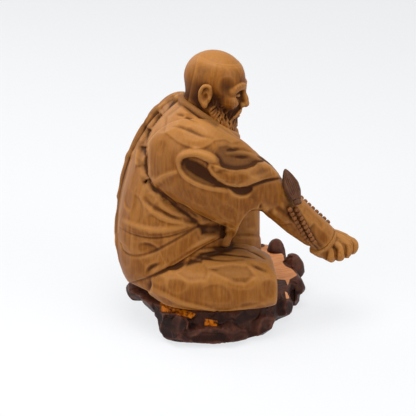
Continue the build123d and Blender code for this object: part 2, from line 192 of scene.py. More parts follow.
class Shader(Nodes):
    """A material's node tree."""

    def __init__(self, name: str) -> None:
        """Start an empty material.

        Args:
            name: Its name.
        """
        self.material = bpy.data.materials.new(name)
        self.material.use_nodes = True
        super().__init__(self.material.node_tree)

    def mix(self, share: object, first: object, second: object) -> Value:
        """Mix two colours.

        Args:
            share: How much of the second, 0 to 1.
            first: Colour or link.
            second: Colour or link.

        Returns:
            The mixed colour.
        """
        first, second = ((*c, 1.0) if isinstance(c, tuple) else c for c in (first, second))
        return self.node("ShaderNodeMix", {"data_type": "RGBA"}, {0: share, 6: first, 7: second}, 2)

    def place(self) -> Value:
        """The object's own coordinates, in metres."""
        return self.node("ShaderNodeTexCoord", {}, {}, "Object")

    def upward(self, low: float, high: float) -> Value:
        """How far the surface faces up: 0 at low, 1 at high."""
        normal = self.node("ShaderNodeNewGeometry", {}, {}, "Normal")
        return self.node("ShaderNodeSeparateXYZ", {}, {"Vector": normal}, 2).ramp(low, high)

    def layer(self, layer: Layer) -> Value:
        """A number stored at the piece's points."""
        return self.node("ShaderNodeAttribute", {"attribute_name": layer.value}, {}, "Fac")

    def noise(
        self, place: Value, scale: float, stretch: Triple = (1.0, 1.0, 1.0), detail: float = 3.0
    ) -> Value:
        """Fractal noise.

        Args:
            place: Where it is read.
            scale: Cells in a metre.
            stretch: Factors on the place, below 1 to draw the pattern out along an axis.
            detail: Octaves.

        Returns:
            Values round 0.5.
        """
        scaled = self.node("ShaderNodeMapping", {}, {"Vector": place, "Scale": stretch})
        inputs = {"Vector": scaled, "Scale": scale, "Detail": detail, "Roughness": 0.58}
        return self.node("ShaderNodeTexNoise", {}, inputs)

    def finish(self, constants: dict, links: dict, height: Value | None = None, depth: float = 0.0) -> None:
        """Close the tree with a Principled shader.

        Args:
            constants: Sockets that are the same all over.
            links: Sockets that change over the surface.
            height: Bump height, 0 to 1.
            depth: Bump distance in metres.
        """
        inputs = {**constants, **links}
        if height is not None:
            inputs["Normal"] = self.node("ShaderNodeBump", {}, {"Height": height, "Distance": depth})
        shader = self.node("ShaderNodeBsdfPrincipled", {}, inputs)
        self.node("ShaderNodeOutputMaterial", {}, {"Surface": shader})


@dataclass(frozen=True)
class CarvedWood:
    """Waxed, hand-carved wood: fibres along z, growth rings, painted shade in hollows, pale worn edges with
    painted highlights, and painted light on upper faces.
    """

    name: str = "carved_wood"
    # Pale wood for random tone, also the colour of painted light on upper faces and of painted highlights on
    # edges.
    pale: Triple = (0.46, 0.200, 0.050)
    middle: Triple = (0.27, 0.089, 0.006)
    deep: Triple = (0.14, 0.036, 0.0015)
    # Colour of the painted shade in hollows.
    painted_shade: Triple = (0.036, 0.0085, 0.0008)
    ring_spacing: float = 0.0062
    pith: Pair = (-0.19, 0.06)
    fibre_scale: float = 430.0
    roughness: float = 0.46
    coat: float = 0.03
    # How much painted light from above pales the faces that turn up.
    painted_top_light: float = 0.85
    relief: float = 0.00022

    def material(self) -> Material:
        """Build the finish.

        Returns:
            The material.
        """
        shader = Shader(self.name)
        place = shader.place()
        fibre = shader.noise(place, self.fibre_scale, (1.0, 1.0, 0.05), 4.0)
        pore = shader.noise(place, self.fibre_scale * 2.5, (1.0, 1.0, 0.025), 2.0)
        broad = shader.noise(place, 24.0, (1.0, 1.0, 0.35), 2.0)
        blotch = shader.noise(place, 55.0, (1.0, 1.0, 0.6), 3.0)
        across, along_y = (shader.node("ShaderNodeSeparateXYZ", {}, {"Vector": place}, k) for k in (0, 1))
        across, along_y = across - self.pith[0], along_y - self.pith[1]
        radius = (across * across + along_y * along_y) ** 0.5 + (broad - 0.5) * 0.02
        turns = radius * (2.0 * math.pi / self.ring_spacing)
        rings = shader.node("ShaderNodeMath", {"operation": "SINE"}, {0: turns})
        up = shader.upward(0.05, 0.95)
        painted_shade, edge_wear_and_highlight = shader.layer(Layer.PAINTED_SHADE), shader.layer(Layer.EDGE_WEAR_AND_HIGHLIGHT)
        colour = shader.mix(fibre.ramp(0.26, 0.70), self.deep, self.middle)
        colour = shader.mix(rings.ramp(0.1, 1.0) * 0.35, colour, self.deep)
        colour = shader.mix(blotch.ramp(0.46, 0.78) * 0.35, colour, self.pale)
        colour = shader.mix(pore.ramp(0.6, 0.78) * 0.4, colour, self.deep)
        # Painted light: faces that turn up are paled as if lit from above.
        colour = shader.mix(up * (fibre * 0.5 + 0.5) * self.painted_top_light, colour, self.pale)
        # Pale worn edges, with a painted highlight along crests.
        colour = shader.mix(edge_wear_and_highlight.ramp(0.0, 1.0) * 0.6, colour, self.pale)
        # Painted shade: hollows and shaded areas are darkened towards near-black.
        colour = shader.mix(painted_shade.ramp(0.0, 1.0) * 0.94, colour, self.painted_shade)
        shader.finish(
            {"Coat Roughness": 0.3, "Coat Weight": self.coat, "Specular IOR Level": 0.14},
            {"Base Color": colour, "Roughness": (fibre - 0.5) * 0.25 + painted_shade * 0.3 + self.roughness},
            fibre * 0.7 + pore * 0.3, self.relief,
        )
        return shader.material


@dataclass(frozen=True)
class StainedRock:
    """Dark red-brown stained wood, with bare pale wood on the flat top and bare orange patches, painted shade
    in hollows and painted highlights on upward faces and crests.
    """

    name: str = "stained_rock"
    dark: Triple = (0.012, 0.0036, 0.0022)
    brown: Triple = (0.040, 0.011, 0.006)
    highlight: Triple = (0.15, 0.056, 0.034)
    bare: Triple = (0.82, 0.37, 0.165)
    grain: Triple = (0.66, 0.27, 0.105)
    orange: Triple = (0.60, 0.16, 0.005)

    def material(self) -> Material:
        """Build the finish.

        Returns:
            The material.
        """
        shader = Shader(self.name)
        place = shader.place()
        fibre = shader.noise(place, 380.0, (0.16, 1.0, 1.0), 4.0)
        chatter = shader.noise(place, 260.0, (1.0, 1.0, 0.22), 3.0)
        patch = shader.noise(place, 42.0, detail=4.0)
        painted_shade, edge_wear_and_highlight = shader.layer(Layer.PAINTED_SHADE), shader.layer(Layer.EDGE_WEAR_AND_HIGHLIGHT)
        bare, orange = shader.layer(Layer.BARE), shader.layer(Layer.ORANGE)
        colour = shader.mix(patch.ramp(0.34, 0.66), self.dark, self.brown)
        colour = shader.mix(chatter.ramp(0.5, 0.75) * 0.5, colour, self.brown)
        # Painted highlight: upward faces and crests lean to the highlight colour, as if lit from above.
        up = shader.upward(0.1, 0.9)
        colour = shader.mix(up * chatter.ramp(0.2, 0.7) * 0.6, colour, self.highlight)
        colour = shader.mix(edge_wear_and_highlight.ramp(0.0, 1.0) * (chatter * 0.7 + 0.2), colour, self.highlight)
        # Painted shade: hollows go to the dark colour.
        colour = shader.mix(painted_shade.ramp(0.0, 1.0), colour, self.dark)
        glow = shader.mix(chatter.ramp(0.42, 0.62), self.orange, self.brown)
        clean = shader.mix(fibre.ramp(0.4, 0.68), self.bare, self.grain)
        colour = shader.mix(orange.ramp(0.25, 0.7), colour, glow)
        colour = shader.mix(bare.ramp(0.35, 0.65), colour, clean)
        shader.finish(
            {"Specular IOR Level": 0.1},
            {"Base Color": colour, "Roughness": (patch - 0.5) * 0.3 + bare * 0.15 + 0.42},
            chatter * 0.6 + fibre * 0.4, 0.0006,
        )
        return shader.material


@dataclass(frozen=True)
class PlainFloor:
    """Matt pale floor that the camera sees nearly white, with the object's shadow."""

    name: str = "pale_floor"
    colour: Triple = (0.84, 0.85, 0.865)
    white: Triple = (0.975, 0.985, 1.0)
    glow: float = 0.72

    def material(self) -> Material:
        """Build the finish.

        Returns:
            The material.
        """
        shader = Shader(self.name)
        matt = {"Base Color": (*self.colour, 1.0), "Roughness": 0.9, "Specular IOR Level": 0.1}
        matt = shader.node("ShaderNodeBsdfPrincipled", {}, matt)
        white = shader.node("ShaderNodeEmission", {}, {"Color": (*self.white, 1.0), "Strength": 1.0})
        surface = shader.blend(shader.seen() * self.glow, matt, white)
        shader.node("ShaderNodeOutputMaterial", {}, {"Surface": surface})
        return shader.material


# Sculpting tools


@dataclass(frozen=True)
class Sight:
    """The reference view; a place on it is millimetres right of and below its top left corner."""

    azimuth: float = -8.0
    elevation: float = 24.0
    distance: float = 1400.0
    aim: Triple = (-27.3, 0.0, 111.0)
    width: float = 416.0
    # How far in front of the aim and behind it a surface is looked for.
    ahead: float = 190.0
    behind: float = 160.0

    def axes(self) -> Array:
        """Right, up and back directions as rows.

        Returns:
            Unit directions.
        """
        turn, rise = math.radians(self.azimuth), math.radians(self.elevation)
        right = np.array((math.cos(turn), math.sin(turn), 0.0))
        back = np.array((math.sin(turn) * math.cos(rise), -math.cos(turn) * math.cos(rise), math.sin(rise)))
        return np.array((right, np.cross(back, right), back))

    def eye(self) -> Array:
        """Where the view is seen from."""
        return np.asarray(self.aim) + self.axes()[2] * self.distance

    def rays(self, places: Path) -> Array:
        """Directions of sight.

        Args:
            places: Places on the view.

        Returns:
            Unit directions from the eye through them.
        """
        offsets = np.asarray(places, float) - self.width / 2.0
        right, up, back = self.axes()
        out = offsets[:, :1] * right - offsets[:, 1:] * up - back * self.distance
        return out / np.linalg.norm(out, axis=1, keepdims=True)

    def at(self, places: Path) -> Array:
        """Points of the object.

        Args:
            places: Places on the view, each with how far the point stands in front of the aim.

        Returns:
            The points.
        """
        given = np.asarray(places, float)
        scale = (self.distance - given[:, 2:]) / self.distance
        right, up, back = self.axes()
        offsets = (given[:, :2] - self.width / 2.0) * (1.0, -1.0) * scale
        return np.asarray(self.aim) + offsets[:, :1] * right + offsets[:, 1:] * up + given[:, 2:] * back

    def places(self, points: Array) -> Array:
        """Where points fall on the view.

        Args:
            points: Points of the object.

        Returns:
            Their places.
        """
        right, up, back = ((points - np.asarray(self.aim)) @ axis for axis in self.axes())
        scale = self.distance / (self.distance - back)
        return np.stack([right * scale, -up * scale], -1) + self.width / 2.0


SIGHT = Sight()


def along(points: Path, count: int) -> Array:
    """Points on a smooth curve through a path.

    Args:
        points: The path's points.
        count: How many points to return.

    Returns:
        An array of points.
    """
    given = np.asarray(points, float)
    padded = np.vstack([2 * given[0] - given[1], given, 2 * given[-1] - given[-2]])
    places = np.linspace(0, len(given) - 1, count)
    start = np.minimum(places.astype(int), len(given) - 2)
    t = (places - start)[:, None]
    a, b, c, d = (padded[start + k] for k in range(4))
    square, cube = 2 * a - 5 * b + 4 * c - d, 3 * b - a - 3 * c + d
    return 0.5 * (2 * b + (c - a) * t + square * t ** 2 + cube * t ** 3)


def spread(values: Spread, count: int) -> Array:
    """A value, or values given along a path, filled in for every one of its points."""
    given = np.atleast_1d(np.asarray(values, float))
    return np.interp(np.linspace(0, 1, count), np.linspace(0, 1, len(given)), given)


def inside(outline: Path, places: Array) -> Array:
    """How far places lie inside a closed outline.

    Args:
        outline: The outline's corners.
        places: The places.

    Returns:
        Distances to the outline, negative outside it.
    """
    corners = np.asarray(outline, float)
    x, y = places[:, 0], places[:, 1]
    nearest = np.full(len(places), np.inf)
    odd = np.zeros(len(places), bool)
    for (ax, ay), (bx, by) in zip(corners, np.roll(corners, -1, axis=0)):
        dx, dy = bx - ax, by - ay
        share = np.clip(((x - ax) * dx + (y - ay) * dy) / max(dx * dx + dy * dy, 1e-9), 0, 1)
        nearest = np.minimum(nearest, (x - ax - share * dx) ** 2 + (y - ay - share * dy) ** 2)
        if dy:
            odd ^= ((ay > y) != (by > y)) & (x < dx * (y - ay) / dy + ax)
    return np.sqrt(nearest) * np.where(odd, 1.0, -1.0)


def step(values: Array, soft: float) -> Array:
    """A smooth rise from 0 to 1, half done at zero and as long as soft on each side of it."""
    t = np.clip(values / (2.0 * soft) + 0.5, 0.0, 1.0)
    return t * t * (3.0 - 2.0 * t)


def blended(values: Array, start: Array, share: Array) -> Array:
    """Grid values blended between the eight corners of a cell.

    Args:
        values: Values on a grid, which repeats past its ends.
        start: The first corner of each place's cell.
        share: How far into the cell the place lies, 0 to 1 along each axis.

    Returns:
        One value for each place.
    """
    total = np.zeros(len(start))
    for corner in range(8):
        shift = np.array([corner >> axis & 1 for axis in range(3)])
        i, j, k = ((start + shift) % values.shape).T
        total += np.prod(np.where(shift, share, 1.0 - share), axis=1) * values[i, j, k]
    return total


def value_noise(points: Array, cell: float, seed: int) -> Array:
    """Smooth random values from -1 to 1.

    Args:
        points: Places, in millimetres.
        cell: Size of the random cells.
        seed: Fixes the pattern.

    Returns:
        One value for each place.
    """
    table = np.random.default_rng(seed).uniform(-1.0, 1.0, (64, 64, 64))
    places = np.asarray(points) / cell
    start = np.floor(places).astype(int)
    share = places - start
    return blended(table, start, share * share * (3.0 - 2.0 * share))


def from_line(start: Array, stop: Array, grid: Sequence[Array]) -> tuple[Array, list[Array]]:
    """Where grid points lie beside a straight line.

    Args:
        start: The line's start.
        stop: Its end.
        grid: The points' x, y and z.

    Returns:
        How far along the line each point lies, 0 to 1, and its offsets from it.
    """
    span = stop - start
    u, v, w = (axis - value for axis, value in zip(grid, start))
    share = (u * span[0] + v * span[1] + w * span[2]) / max(float(span @ span), 1e-6)
    share = np.clip(share, 0.0, 1.0)
    return share, [u - share * span[0], v - share * span[1], w - share * span[2]]


@dataclass
class Ball:
    """An ellipsoid."""

    middle: Sequence[float]
    radii: Triple

    def pieces(self) -> Iterator[tuple[Array, Array, "Ball"]]:
        """The ball with its lowest and highest corners."""
        yield np.subtract(self.middle, self.radii), np.add(self.middle, self.radii), self

    def distance(self, x: Array, y: Array, z: Array) -> Array:
        """Distances near the surface.

        Args:
            x, y, z: Grid points.

        Returns:
            Distances, below zero inside.
        """
        u, v, w = x - self.middle[0], y - self.middle[1], z - self.middle[2]
        a, b, c = self.radii
        scaled = np.sqrt((u / a) ** 2 + (v / b) ** 2 + (w / c) ** 2)
        steep = np.sqrt((u / a ** 2) ** 2 + (v / b ** 2) ** 2 + (w / c ** 2) ** 2)
        return scaled * (scaled - 1.0) / np.maximum(steep, 1e-4)


@dataclass
class Bar:
    """A straight round bar that may taper."""

    start: Array
    stop: Array
    first: float
    last: float

    def distance(self, x: Array, y: Array, z: Array) -> Array:
        """Signed distance at grid points."""
        share, (u, v, w) = from_line(self.start, self.stop, (x, y, z))
        return np.sqrt(u ** 2 + v ** 2 + w ** 2) - (self.first + (self.last - self.first) * share)


@dataclass
class Stroke:
    """A round bar along a smooth path, with radii spread along it."""

    path: Path
    radii: Spread
    steps: int = 4

    def pieces(self) -> Iterator[tuple[Array, Array, Bar]]:
        """The stroke's straight bars with their lowest and highest corners.

        Yields:
            Lowest corner, highest corner and bar.
        """
        count = (len(self.path) - 1) * self.steps + 1
        points, radii = along(self.path, count), spread(self.radii, count)
        for a, b, first, last in zip(points, points[1:], radii, radii[1:]):
            widest = max(first, last)
            yield np.minimum(a, b) - widest, np.maximum(a, b) + widest, Bar(a, b, first, last)


@dataclass(frozen=True)
class Tint:
    """An area of the reference view whose colour layers change: painted shade, painted highlights, or bare
    and orange wood.
    """

    outline: Path
    layer: Layer
    amount: float
    soft: float = 1.5


class Block:
    """A block of wood as signed distances on a grid, in millimetres; inside is negative."""

    REACH = 5.0
    # How far beside an outline's edge its area is looked for.
    MARGIN = 14.0

    def __init__(self, low: Sequence[float], high: Sequence[float], pitch: float) -> None:
        """Start an empty block that fills a box.

        Args:
            low: The box's lowest corner.
            high: Its highest corner.
            pitch: Grid pitch.
        """
        self.low = np.asarray(low, float)
        self.pitch = pitch
        self.shape = tuple(int(n) for n in np.ceil((np.asarray(high) - self.low) / pitch) + 1)
        self.values = np.full(self.shape, self.REACH, np.float32)

    @classmethod
    def around(cls, names: Iterable[str], margin: float, pitch: float) -> "Block":
        """An empty block that covers CAD nodes.

        Args:
            names: The nodes.
            margin: Room left round them.
            pitch: Grid pitch.

        Returns:
            The block.
        """
        boxes = [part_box(name) for name in names]
        low = np.min([tuple(box[0]) for box in boxes], axis=0) / MM - margin
        high = np.max([tuple(box[1]) for box in boxes], axis=0) / MM + margin
        return cls(low, high, pitch)

    def _window(self, low: Array, high: Array) -> tuple[slice, ...]:
        """Grid slices that cover a box.

        Args:
            low: The box's lowest corner.
            high: Its highest corner.

        Returns:
            One slice for each axis.
        """
        start = np.clip(np.floor((low - self.low) / self.pitch).astype(int), 0, np.array(self.shape) - 1)
        stop = np.clip(np.ceil((high - self.low) / self.pitch).astype(int) + 1, start + 1, self.shape)
        return tuple(slice(int(a), int(b)) for a, b in zip(start, stop))

    def _axes(self, window: tuple[slice, ...]) -> list[Array]:
        """Coordinates of a window.

        Args:
            window: Grid slices.

        Returns:
            The x, y and z of its points, shaped to broadcast.
        """
        out = []
        for axis, part in enumerate(window):
            line = self.low[axis] + self.pitch * np.arange(part.start, part.stop)
            out.append(line.astype(np.float32).reshape([-1 if k == axis else 1 for k in range(3)]))
        return out

    def _points(self, window: tuple[slice, ...]) -> Array:
        """Every grid point of a window."""
        axes = (axis.ravel() for axis in self._axes(window))
        return np.stack(np.meshgrid(*axes, indexing="ij"), -1).reshape(-1, 3)

    def along(self, direction: Array) -> Array:
        """Every grid point's place along a direction."""
        axes = self._axes(tuple(slice(0, n) for n in self.shape))
        return sum(line * axis for line, axis in zip(axes, direction))

    def levels(self) -> Array:
        """Heights of the grid's layers."""
        return self.low[2] + self.pitch * np.arange(self.shape[2], dtype=np.float32)

    def keep(self, limits: Array) -> None:
        """Cut away what lies outside other distances on the grid."""
        self.values = np.maximum(self.values, limits)

    def saw_end(self, low: Triple, high: Triple, place: float, blend: float) -> None:
        """Saw off what lies past a place along x.

        Args:
            low: Lowest corner of the box that is worked on.
            high: Its highest corner.
            place: Where the saw goes through.
            blend: Size of the rounded edge.
        """
        window = self._window(np.array(low), np.array(high))
        beyond = place - self._axes(window)[0]
        self.values[window] = -self._soft_min(-self.values[window], beyond, blend)

    def _field(self, shape: Ball | Stroke, margin: float) -> tuple[tuple[slice, ...], Array]:
        """A shape's distances.

        Args:
            shape: The shape.
            margin: How far beside it they reach.

        Returns:
            The window that they fill, and the distances.
        """
        parts = list(shape.pieces())
        low = np.min([p[0] for p in parts], axis=0) - margin
        high = np.max([p[1] for p in parts], axis=0) + margin
        window = self._window(low, high)
        out = np.full([part.stop - part.start for part in window], self.REACH, np.float32)
        for low, high, part in parts:
            local = self._window(low - margin, high + margin)
            inner = tuple(slice(a.start - b.start, a.stop - b.start) for a, b in zip(local, window))
            out[inner] = np.minimum(out[inner], part.distance(*self._axes(local)))
        return window, out

    @staticmethod
    def _soft_min(first: Array, second: Array, blend: float) -> Array:
        """The smaller of two distances, rounded where they meet.

        Args:
            first, second: The distances.
            blend: About how wide the rounding is.

        Returns:
            The joined distances.
        """
        if blend <= 0:
            return np.minimum(first, second)
        near = np.maximum(blend - np.abs(first - second), 0.0) / blend
        return np.minimum(first, second) - near * near * blend * 0.25

    def add(self, shape: Ball | Stroke, blend: float = 0.0) -> None:
        """Join a shape to the block, with a fillet of about that size."""
        window, distance = self._field(shape, blend + 2.0)
        self.values[window] = self._soft_min(self.values[window], distance, blend)

    def cut(self, shape: Ball | Stroke, blend: float = 0.0) -> None:
        """Take a shape away from the block, with a soft edge of about that size."""
        window, distance = self._field(shape, blend + 2.0)
        self.values[window] = -self._soft_min(-self.values[window], distance, blend)

    def node_field(self, names: Iterable[str]) -> Array:
        """Distances to CAD nodes on this grid.

        Args:
            names: The nodes.

        Returns:
            The distance to the nearest.
        """
        transform = openvdb.createLinearTransform(voxelSize=self.pitch)
        joined = np.full(self.shape, self.REACH, np.float32)
        for name in names:
            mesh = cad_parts[name].data
            points = np.empty(len(mesh.vertices) * 3, np.float32)
            mesh.vertices.foreach_get("co", points)
            points = (points.reshape(-1, 3) / MM - self.low).astype(np.float32)
            mesh.calc_loop_triangles()
            corners = np.empty(len(mesh.loop_triangles) * 3, np.int32)
            mesh.loop_triangles.foreach_get("vertices", corners)
            grid = openvdb.FloatGrid.createLevelSetFromPolygons(
                points, triangles=corners.reshape(-1, 3).astype(np.uint32),
                transform=transform, halfWidth=self.REACH / self.pitch,
            )
            dense = np.empty(self.shape, np.float32)
            grid.copyToArray(dense)
            joined = np.minimum(joined, dense)
        return joined

    def blurred(self, rounds: int, stride: int = 1) -> Array:
        """The block's distances smoothed over their neighbours.

        Args:
            rounds: How often; the width grows with the square root.
            stride: Keep only every so many grid points.

        Returns:
            The smoothed copy.
        """
        out = self.values[::stride, ::stride, ::stride].copy()
        for _ in range(rounds):
            for axis in range(3):
                line = np.moveaxis(out, axis, 0)
                middle = line.copy()
                line[1:-1] = 0.5 * middle[1:-1] + 0.25 * (middle[:-2] + middle[2:])
        return out

    def sample(self, values: Array, points: Array, stride: int = 1) -> Array:
        """Grid values at places between the grid points.

        Args:
            values: Values on the grid.
            points: Places, in millimetres.
            stride: How many grid points apart the values lie.

        Returns:
            One value for each place.
        """
        places = np.clip((points - self.low) / (self.pitch * stride), 0, np.array(values.shape) - 1.001)
        start = places.astype(int)
        return blended(values, start, places - start)

    def slope(self, points: Array) -> Array:
        """Outward directions of the surface.

        Args:
            points: Points near it.

        Returns:
            Unit directions.
        """
        reach = np.eye(3) * self.pitch
        ends = [[self.sample(self.values, points + sign * r) for sign in (1, -1)] for r in reach]
        out = np.stack([after - before for after, before in ends], 1)
        return out / np.maximum(np.linalg.norm(out, axis=1, keepdims=True), 1e-9)

    def rest(self, points: Array, rounds: int = 6) -> Array:
        """Points moved to the nearest place on the surface.

        Args:
            points: Points near it.
            rounds: How often they move.

        Returns:
            The moved points.
        """
        out = np.array(points, float)
        for _ in range(rounds):
            out -= self.slope(out) * self.sample(self.values, out)[:, None] * 0.9
        return out

    def seen(self, places: Path) -> Array:
        """The surface at places on the reference view.

        Args:
            places: Places on the view.

        Returns:
            Points on the surface, or the nearest pass where the view misses it.
        """
        eye, rays = SIGHT.eye(), SIGHT.rays(places)
        depth = np.full(len(rays), SIGHT.distance - SIGHT.ahead)
        best, best_depth = np.full(len(rays), np.inf), depth.copy()
        for _ in range(500):
            gap = self.sample(self.values, eye + rays * depth[:, None])
            closer = (gap < best) & (best > 0.0)
            best[closer], best_depth[closer] = gap[closer], depth[closer]
            depth += np.where(best > 0.0, np.maximum(gap * 0.8, 0.25), 0.0)
            if (best <= 0.0).all() or depth.min() > SIGHT.distance + SIGHT.behind:
                break
        return self.rest(eye + rays * best_depth[:, None])

    def lie(self, path: Path, spacing: float = 2.5) -> Array:
        """A path laid on the surface.

        Args:
            path: Places on the reference view, or points near the surface.
            spacing: Length of its straight pieces.

        Returns:
            Points on the surface.
        """
        given = np.asarray(path, float)
        length = np.linalg.norm(np.diff(given, axis=0), axis=1).sum()
        fine = along(given, max(int(length / spacing), 4) + 1)
        return self.seen(fine) if given.shape[1] == 2 else self.rest(fine)

    def roll(self, path: Path, radii: Spread, lifts: Spread, blend: float) -> None:
        """Add a roll of wood along the surface.

        Args:
            path: Places on the reference view, or points near the surface.
            radii: Its radii along the path.
            lifts: How far its middle stands off the surface.
            blend: Size of the fillet at its foot.
        """
        points = self.lie(path)
        points = points + self.slope(points) * spread(lifts, len(points))[:, None]
        self.add(Stroke(points, radii, 1), blend)

    def carve(self, path: Path, widths: Spread, rises: Spread, profile: Profile = Profile.ROUND) -> None:
        """Carve a line along the surface: ridges rise above it, grooves fall below.

        Args:
            path: Places on the reference view, or points near the surface.
            widths: Half the line's widths along the path.
            rises: Its heights along the path, below zero for a groove.
            profile: Its cross-section.
        """
        points = self.lie(path)
        count = len(points)
        widths, rises = spread(widths, count), spread(rises, count)
        outward = self.slope(points)
        reach = float(widths.max()) + 1.0
        window = self._window(points.min(0) - reach, points.max(0) + reach)
        nearest = np.full([part.stop - part.start for part in window], np.inf, np.float32)
        lifted = np.zeros(nearest.shape, np.float32)
        for k in range(count - 1):
            a, b = points[k], points[k + 1]
            local = self._window(np.minimum(a, b) - reach, np.maximum(a, b) + reach)
            inner = tuple(slice(p.start - q.start, p.stop - q.start) for p, q in zip(local, window))
            share, offsets = from_line(a, b, self._axes(local))
            gap = np.sqrt(sum(offset * offset for offset in offsets))
            width = widths[k] + (widths[k + 1] - widths[k]) * share
            rise = rises[k] + (rises[k + 1] - rises[k]) * share
            if profile is Profile.ROUND:
                change = rise * (0.5 + 0.5 * np.cos(np.pi * np.minimum(gap / width, 1.0)))
            elif profile is Profile.CREASE:
                change = rise * np.maximum(1.0 - gap / width, 0.0) ** 1.4
            else:
                side = np.cross(outward[k], (b - a) / max(np.linalg.norm(b - a), 1e-6))
                beside = sum(offset * value for offset, value in zip(offsets, side))
                fade = np.maximum(1.0 - np.maximum(beside, 0.0) / width, 0.0) ** 1.5
                change = rise * step(beside, self.pitch * 0.9) * fade * (gap < width)
            closer = gap < nearest[inner]
            nearest[inner] = np.where(closer, gap, nearest[inner])
            lifted[inner] = np.where(closer, change, lifted[inner])
        self.values[window] -= lifted

    def crease(self, path: Path, widths: Spread, rises: Spread) -> None:
        """Carve a sharp line along the surface."""
        self.carve(path, widths, rises, Profile.CREASE)

    def ledge(self, path: Path, widths: Spread, rises: Spread) -> None:
        """Carve a step that runs out to one side of a line."""
        self.carve(path, widths, rises, Profile.LEDGE)

    def _facing(self, outline: Path, soft: float) -> tuple[tuple[Array, ...], Array, Array]:
        """Grid points near the surface that the reference view shows in an outline.

        Args:
            outline: The outline on the view.
            soft: How far outside it points still count.

        Returns:
            Their grid numbers, their places on the view, and how squarely they face it, 0 to 1.
        """
        edge = self.seen(outline)
        window = self._window(edge.min(0) - self.MARGIN, edge.max(0) + self.MARGIN)
        points = np.argwhere(np.abs(self.values[window]) < self.REACH * 0.98)
        points += [part.start for part in window]
        real = points * self.pitch + self.low
        places = SIGHT.places(real)
        chosen = inside(outline, places) > -soft
        facing = self.slope(real[chosen]) @ SIGHT.axes()[2]
        return tuple(points[chosen].T), places[chosen], step(facing - 0.05, 0.1)

    def press(self, outline: Path, rise: float, soft: float) -> None:
        """Raise or sink an area of the surface that faces the reference view.

        Args:
            outline: The area on the view.
            rise: How far it comes up, below zero to sink it.
            soft: Width of the change at its edge.
        """
        index, places, facing = self._facing(outline, soft)
        change = rise * step(inside(outline, places), soft) * facing
        self.values[index] -= change.astype(np.float32)

    def soften(self, outline: Path, size: float, soft: float) -> None:
        """Even out an area of the reference view.

        Args:
            outline: The area on the view.
            size: Forms smaller than this go, in millimetres.
            soft: Width of the change at its edge.
        """
        stride = max(1, round(size / 2.0 / self.pitch))
        smooth = self.blurred(8, stride)
        index, places, _ = self._facing(outline, soft)
        share = step(inside(outline, places), soft)
        level = self.sample(smooth, np.stack(index, 1) * self.pitch + self.low, stride)
        self.values[index] += ((level - self.values[index]) * share).astype(np.float32)

    def bridge(self, outline: Path, sag: float, thickness: float = 14.0) -> None:
        """Close a hole of the reference view with a sagging surface between the hole's edges.

        Args:
            outline: A line round the hole, on the wood beside it.
            sag: How far the surface's middle lies behind the edges, in millimetres.
            thickness: How much wood is put behind it.
        """
        edge = self.lie([*outline, outline[0]])
        window = self._window(edge.min(0) - thickness, edge.max(0) + thickness)
        points = self._points(window)
        places = SIGHT.places(points)
        chosen = inside(outline, places) > -0.5
        depth = inside(outline, places[chosen])
        gaps = ((places[chosen][:, None] - SIGHT.places(edge)[None]) ** 2).sum(2)
        weight = 1.0 / (gaps + 2.0) ** 1.5
        level = (weight * np.linalg.norm(edge - SIGHT.eye(), axis=1)).sum(1) / weight.sum(1)
        level = level + sag * (1.0 - np.exp(-np.maximum(depth, 0.0) / 3.0))
        ahead = level - np.linalg.norm(points[chosen] - SIGHT.eye(), axis=1)
        filled = np.full(len(points), self.REACH, np.float32)
        filled[chosen] = np.maximum(ahead, -ahead - thickness)
        own = self.values[window]
        self.values[window] = self._soft_min(own, filled.reshape(own.shape), 1.5)

    def chisel(self, spacing: float, tilt: float, seed: int) -> None:
        """Cut flat facets on the rounded parts of the surface.

        Args:
            spacing: About how wide a facet is, in millimetres.
            tilt: How far cuts lean at random, in degrees.
            seed: Fixes where the facets lie.
        """
        rng = np.random.default_rng(seed)
        points = self.skin().points
        stride = max(1, round(3.6 / self.pitch))
        bend = self.sample(self.blurred(8, stride), points, stride) / (4.0 * (stride * self.pitch) ** 2)
        fine = np.abs(self.sample(self.blurred(8), points)) > 0.3
        free = (bend > 1.0 / 160.0) & (bend < 1.0 / 34.0)
        for index in rng.permutation(len(points)):
            if not free[index]:
                continue
            gaps = ((points - points[index]) ** 2).sum(1)
            free &= gaps > (spacing * rng.uniform(0.65, 1.2)) ** 2
            if fine[gaps < (0.45 * spacing) ** 2].any():
                continue
            middle, lean = points[index], self.slope(points[index:index + 1])[0]
            lean = lean + rng.normal(0.0, math.tan(math.radians(tilt)), 3) * min(1.0, bend[index] * 50.0)
            depth = (0.5 * spacing) ** 2 * bend[index] * rng.uniform(0.3, 0.55)
            window = self._window(middle - spacing, middle + spacing)
            offsets = [axis - value for axis, value in zip(self._axes(window), middle)]
            plane = sum(offset * value for offset, value in zip(offsets, lean / np.linalg.norm(lean))) + depth
            reach = np.sqrt(sum(offset ** 2 for offset in offsets))
            own = self.values[window]
            share = np.clip((spacing * 0.8 - reach) / 3.0, 0.0, 1.0) * np.clip(own + 4.0, 0.0, 1.0)
            self.values[window] = own + np.maximum(plane - own, 0.0) * share

    def trim(self, outline: Path, low: Sequence[float], high: Sequence[float]) -> None:
        """Take away what the reference view shows in an outline.

        Args:
            outline: The outline on the view.
            low: Lowest corner of the box that is worked on.
            high: Its highest corner.
        """
        window = self._window(np.array(low), np.array(high))
        own = self.values[window]
        depth = inside(outline, SIGHT.places(self._points(window))).reshape(own.shape)
        self.values[window] = np.maximum(own, np.clip(depth, -self.REACH, self.REACH).astype(np.float32))

